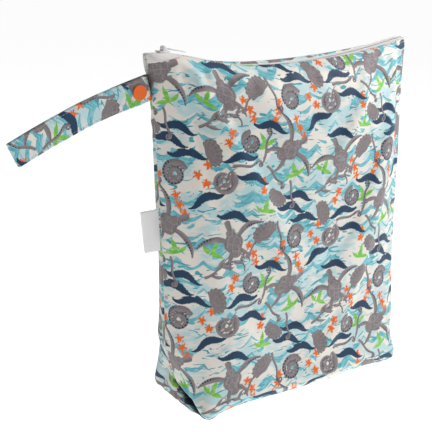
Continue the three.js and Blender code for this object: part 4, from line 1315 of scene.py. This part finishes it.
def strap_section():
    """The band's section: place across its width and height over its middle, once round."""
    across = np.concatenate([np.linspace(-1, -0.9, 4), np.linspace(-0.86, 0.86, 27), np.linspace(0.9, 1, 4)])
    x = across * STRAP_WIDTH / 2
    from_edge = STRAP_WIDTH / 2 - np.abs(x)
    half = STRAP_PLY / 2 * np.sqrt(np.clip(1 - (1 - np.clip(from_edge / EDGE_SOFT, 0, 1)) ** 2, 0.02, 1))
    half -= GROOVE * np.exp(-(((from_edge - STITCH_IN) / 0.6) ** 2))
    outer_side = np.stack([x, half], -1)
    inner_side = np.stack([x, np.full(len(x), -STRAP_PLY / 2)], -1)
    return np.concatenate([outer_side, inner_side[::-1]])


section = strap_section()
points, flat = [], []
walked, before = 0.0, None
for share, turn in stations:
    reach = 0.01
    along = strap_line(share + reach) - strap_line(share - reach)
    along /= np.linalg.norm(along)
    upwards = np.array([along[2], 0, -along[0]])
    outwards = np.array([-math.sin(turn), math.cos(turn), 0])
    spread_here = half_spread(share)
    middle = strap_line(share) + (0, spread_here * (math.cos(turn) - 1), 0)
    ripple = STRAP_RIPPLE * math.sin(share * 17 + turn) * math.sin(math.pi * min(1, share * 1.02))
    middle = middle + outwards * ripple
    walked += 0 if before is None else float(np.linalg.norm(middle - before))
    before = middle
    for x, height in section:
        pucker = 1 + 0.12 * math.sin(walked / 1.35) * (abs(x) > STRAP_WIDTH / 2 - 3.4)
        points.append(middle + upwards * x + outwards * height * pucker)
        flat.append((STRAP_PRINT_AT[0] + x, walked + STRAP_PRINT_AT[1]))
points = np.array(points).reshape(len(stations), len(section), 3)
for rows_end, back_off in ((0, 0.0), (-1, STRAP_END_GAP)):
    points[rows_end, :, 0] = seam_edge(points[rows_end, :, 2]) - back_off
count = len(section)
strap = mesh_piece("strap", points.reshape(-1, 3), capped_tube(len(stations), count), [strap_print])
flat = np.array(flat)
loops = np.array([loop.vertex_index for loop in strap.data.loops])
store_print(strap.data, flat[loops])
turn_outwards(strap)
bpy.ops.object.shade_smooth_by_angle(angle=math.radians(60))
# Painted shade: the strap's cloth is darkened near its root, in the nook at the side seam, on both of its
# sides.
from_root = np.array([share for share, _ in stations]) * STRAP_REACH
painted_strap_root_shade = 4 * np.exp(-((from_root / ROOT_SHADE) ** 2))
store_painted_shade(strap.data, np.repeat(painted_strap_root_shade, count)[loops])
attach(strap, "bag")
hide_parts("hand_strap")
strap_points = points
print("strap:", len(strap.data.polygons), "faces, band", round(walked), "mm long")

# %% The strap's stitches
spots = []
half = count // 2
edges = [side * (STRAP_WIDTH / 2 - STITCH_IN) for side in (-1, 1)]
lines = [int(np.argmin(np.abs(section[:half, 0] - edge))) for edge in edges]
for line in lines:
    path = strap_points[:, line]
    lengths = np.concatenate([[0], np.cumsum(np.linalg.norm(np.diff(path, axis=0), axis=1))])
    opposite = strap_points[:, count - 1 - line]
    for distance in np.arange(2.0, lengths[-1] - 1.5, STITCH_PITCH):
        i = int(np.searchsorted(lengths, distance)) - 1
        if abs(i - len(stations) // 2) < FOLD_STEPS:
            continue
        share = (distance - lengths[i]) / (lengths[i + 1] - lengths[i])
        place = path[i] * (1 - share) + path[i + 1] * share
        along = (path[i + 1] - path[i]) / np.linalg.norm(path[i + 1] - path[i])
        out = path[i] - opposite[i]
        spots.append((place, along, out / np.linalg.norm(out)))
across_at = SIDE_STEPS + FOLD_STEPS + 2
for line in range(lines[0] + 1, lines[1], 2):
    place, beside = strap_points[across_at, line], strap_points[across_at, line + 1]
    out = place - strap_points[across_at, count - 1 - line]
    spots.append((place, (beside - place) / np.linalg.norm(beside - place), out / np.linalg.norm(out)))
strap_stitches = copies("strap_stitches", stitch, spots, aqua_thread)
print("strap stitches:", len(spots))

# %% [markdown]
# ## The snap
#
# A press snap holds the strap closed. Its two caps are moulded discs with a rolled rim
# and a shallow dish, as such caps have. A disc is added as a cylinder, inset and pushed
# in for the dish, and its edges are bevelled. The socket and the stud between the
# strap's sides hardly show, so their CAD rings stay and only get the finish.

# %% Snap caps
CAP_RADIUS, CAP_THICKNESS, POST_RADIUS = 6.2, 1.5, 1.6
RIM_WIDTH, DISH, DISH_SLOPE = 2.0, 0.3, 1.4
CAP_BEVEL = 0.45


def snap_cap(name, node, outward):
    """outward is -1 for the cap in front and 1 for the one behind."""
    low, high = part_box(node)
    centre = (low + high) / 2
    face = low.y if outward < 0 else high.y
    seat = Vector((centre.x, face - outward * CAP_THICKNESS / 2 * MM, centre.z))
    bpy.ops.object.select_all(action="DESELECT")
    bpy.ops.mesh.primitive_cylinder_add(vertices=48, radius=CAP_RADIUS * MM, depth=CAP_THICKNESS * MM)
    made = bpy.context.object
    bpy.ops.object.mode_set(mode="EDIT")
    bpy.ops.mesh.select_mode(type="FACE")
    bpy.ops.mesh.select_all(action="DESELECT")
    bpy.ops.object.mode_set(mode="OBJECT")
    for face in made.data.polygons:
        face.select = face.normal.z > 0.9
    bpy.ops.object.mode_set(mode="EDIT")
    bpy.ops.mesh.inset(thickness=RIM_WIDTH * MM)
    bpy.ops.transform.translate(value=(0, 0, -DISH * MM))
    bpy.ops.mesh.inset(thickness=DISH_SLOPE * MM)
    bpy.ops.transform.translate(value=(0, 0, DISH * 0.5 * MM))
    bpy.ops.mesh.select_all(action="DESELECT")
    bpy.ops.object.mode_set(mode="OBJECT")
    for face in made.data.polygons:
        face.select = face.normal.z < -0.9
    bpy.ops.object.mode_set(mode="EDIT")
    bpy.ops.mesh.inset(thickness=(CAP_RADIUS - POST_RADIUS) * MM)
    post = (0, 0, -(high.y - low.y) + CAP_THICKNESS * MM)
    bpy.ops.mesh.extrude_region_move(TRANSFORM_OT_translate={"value": post})
    bpy.ops.object.mode_set(mode="OBJECT")
    made.rotation_euler = (math.pi / 2 * -outward, 0, 0)
    made.location = seat
    bpy.ops.object.transform_apply(location=True, rotation=True, scale=True)
    bevel = made.modifiers.new("rolled rim", "BEVEL")
    bevel.width, bevel.segments, bevel.angle_limit = CAP_BEVEL * MM, 3, math.radians(25)
    bpy.ops.object.modifier_apply(modifier=bevel.name)
    bpy.ops.object.shade_smooth_by_angle(angle=math.radians(50))
    made.name = name
    made.data.materials.clear()
    made.data.materials.append(orange_acetal)
    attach(made, "bag")
    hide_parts(node)
    box_low = [min(v.co[i] for v in made.data.vertices) / MM for i in range(3)]
    print(name, "lowest corner", [round(c, 1) for c in box_low], "CAD", [round(c / MM, 1) for c in low])
    return made


snap_cap("cap_front", "snap_cap_front", -1)
snap_cap("cap_back", "snap_cap_back", 1)
for node in ("snap_socket", "snap_stud"):
    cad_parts[node].data.materials.clear()
    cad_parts[node].data.materials.append(orange_acetal)

# %% [markdown]
# ## The label
#
# A folded piece of bare satin ribbon is caught in the side seam. It starts as a cube at
# the label's size and gets subdivided. Then its points are moved in code, so that it
# curls a little and hangs askew, as ribbon never lies flat.

# %% The label
LABEL_WAVE = 0.9  # how far the free edge leaves its plane
LABEL_LIFT = 0.4
LABEL_SLANT = 3.6  # how much less the lower corner reaches out

low, high = (np.array(c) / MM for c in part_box("side_label"))
bpy.ops.object.select_all(action="DESELECT")
bpy.ops.mesh.primitive_cube_add(size=1.0, location=tuple((low + high) / 2 * MM))
label = bpy.context.object
bpy.ops.transform.resize(value=tuple((high - low) * MM))
bpy.ops.object.transform_apply(location=True, rotation=True, scale=True)
bevel = label.modifiers.new("fold", "BEVEL")
bevel.width, bevel.segments = 0.4 * MM, 2
bpy.ops.object.modifier_apply(modifier=bevel.name)
bpy.ops.object.mode_set(mode="EDIT")
bpy.ops.mesh.select_all(action="SELECT")
bpy.ops.mesh.subdivide(number_cuts=11)
bpy.ops.object.mode_set(mode="OBJECT")
for vertex in label.data.vertices:
    x, y, z = (c / MM for c in vertex.co)
    out = (high[0] - x) / (high[0] - low[0])
    up = (z - low[2]) / (high[2] - low[2])
    edge = float(seam_edge(z)) + 0.2
    x = x + LABEL_SLANT * out * (1 - up) if out > 0.5 else min(x, edge)
    y += LABEL_WAVE * out**2 * math.sin(2.3 * up + 0.6) - LABEL_LIFT * out * up
    vertex.co = (x * MM, y * MM, z * MM)
bpy.ops.object.shade_smooth_by_angle(angle=math.radians(50))
label.name = "label"

satin, tree, shader = new_material("label_satin", 0.42, Sheen_Weight=0.25, Anisotropic=0.4)
place = put(tree, "ShaderNodeTexCoord").outputs["Object"]
floats = put(tree, "ShaderNodeTexWave", {"Vector": place, "Scale": 420.0, "Distortion": 0.6},
             bands_direction="Z").outputs["Fac"]
yarn = noise(tree, stretched(tree, place, (1.0, 1.0, 6.0)), 500.0, 2.0)
tree.links.new(mix(tree, yarn, srgb(240, 238, 239), srgb(250, 249, 250)), shader.inputs["Base Color"])
tree.links.new(bumped(tree, maths(tree, "ADD", floats, yarn), 0.00008, 0.5), shader.inputs["Normal"])
label.data.materials.clear()
label.data.materials.append(satin)
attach(label, "bag")
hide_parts("side_label")
print("label:", len(label.data.polygons), "faces")
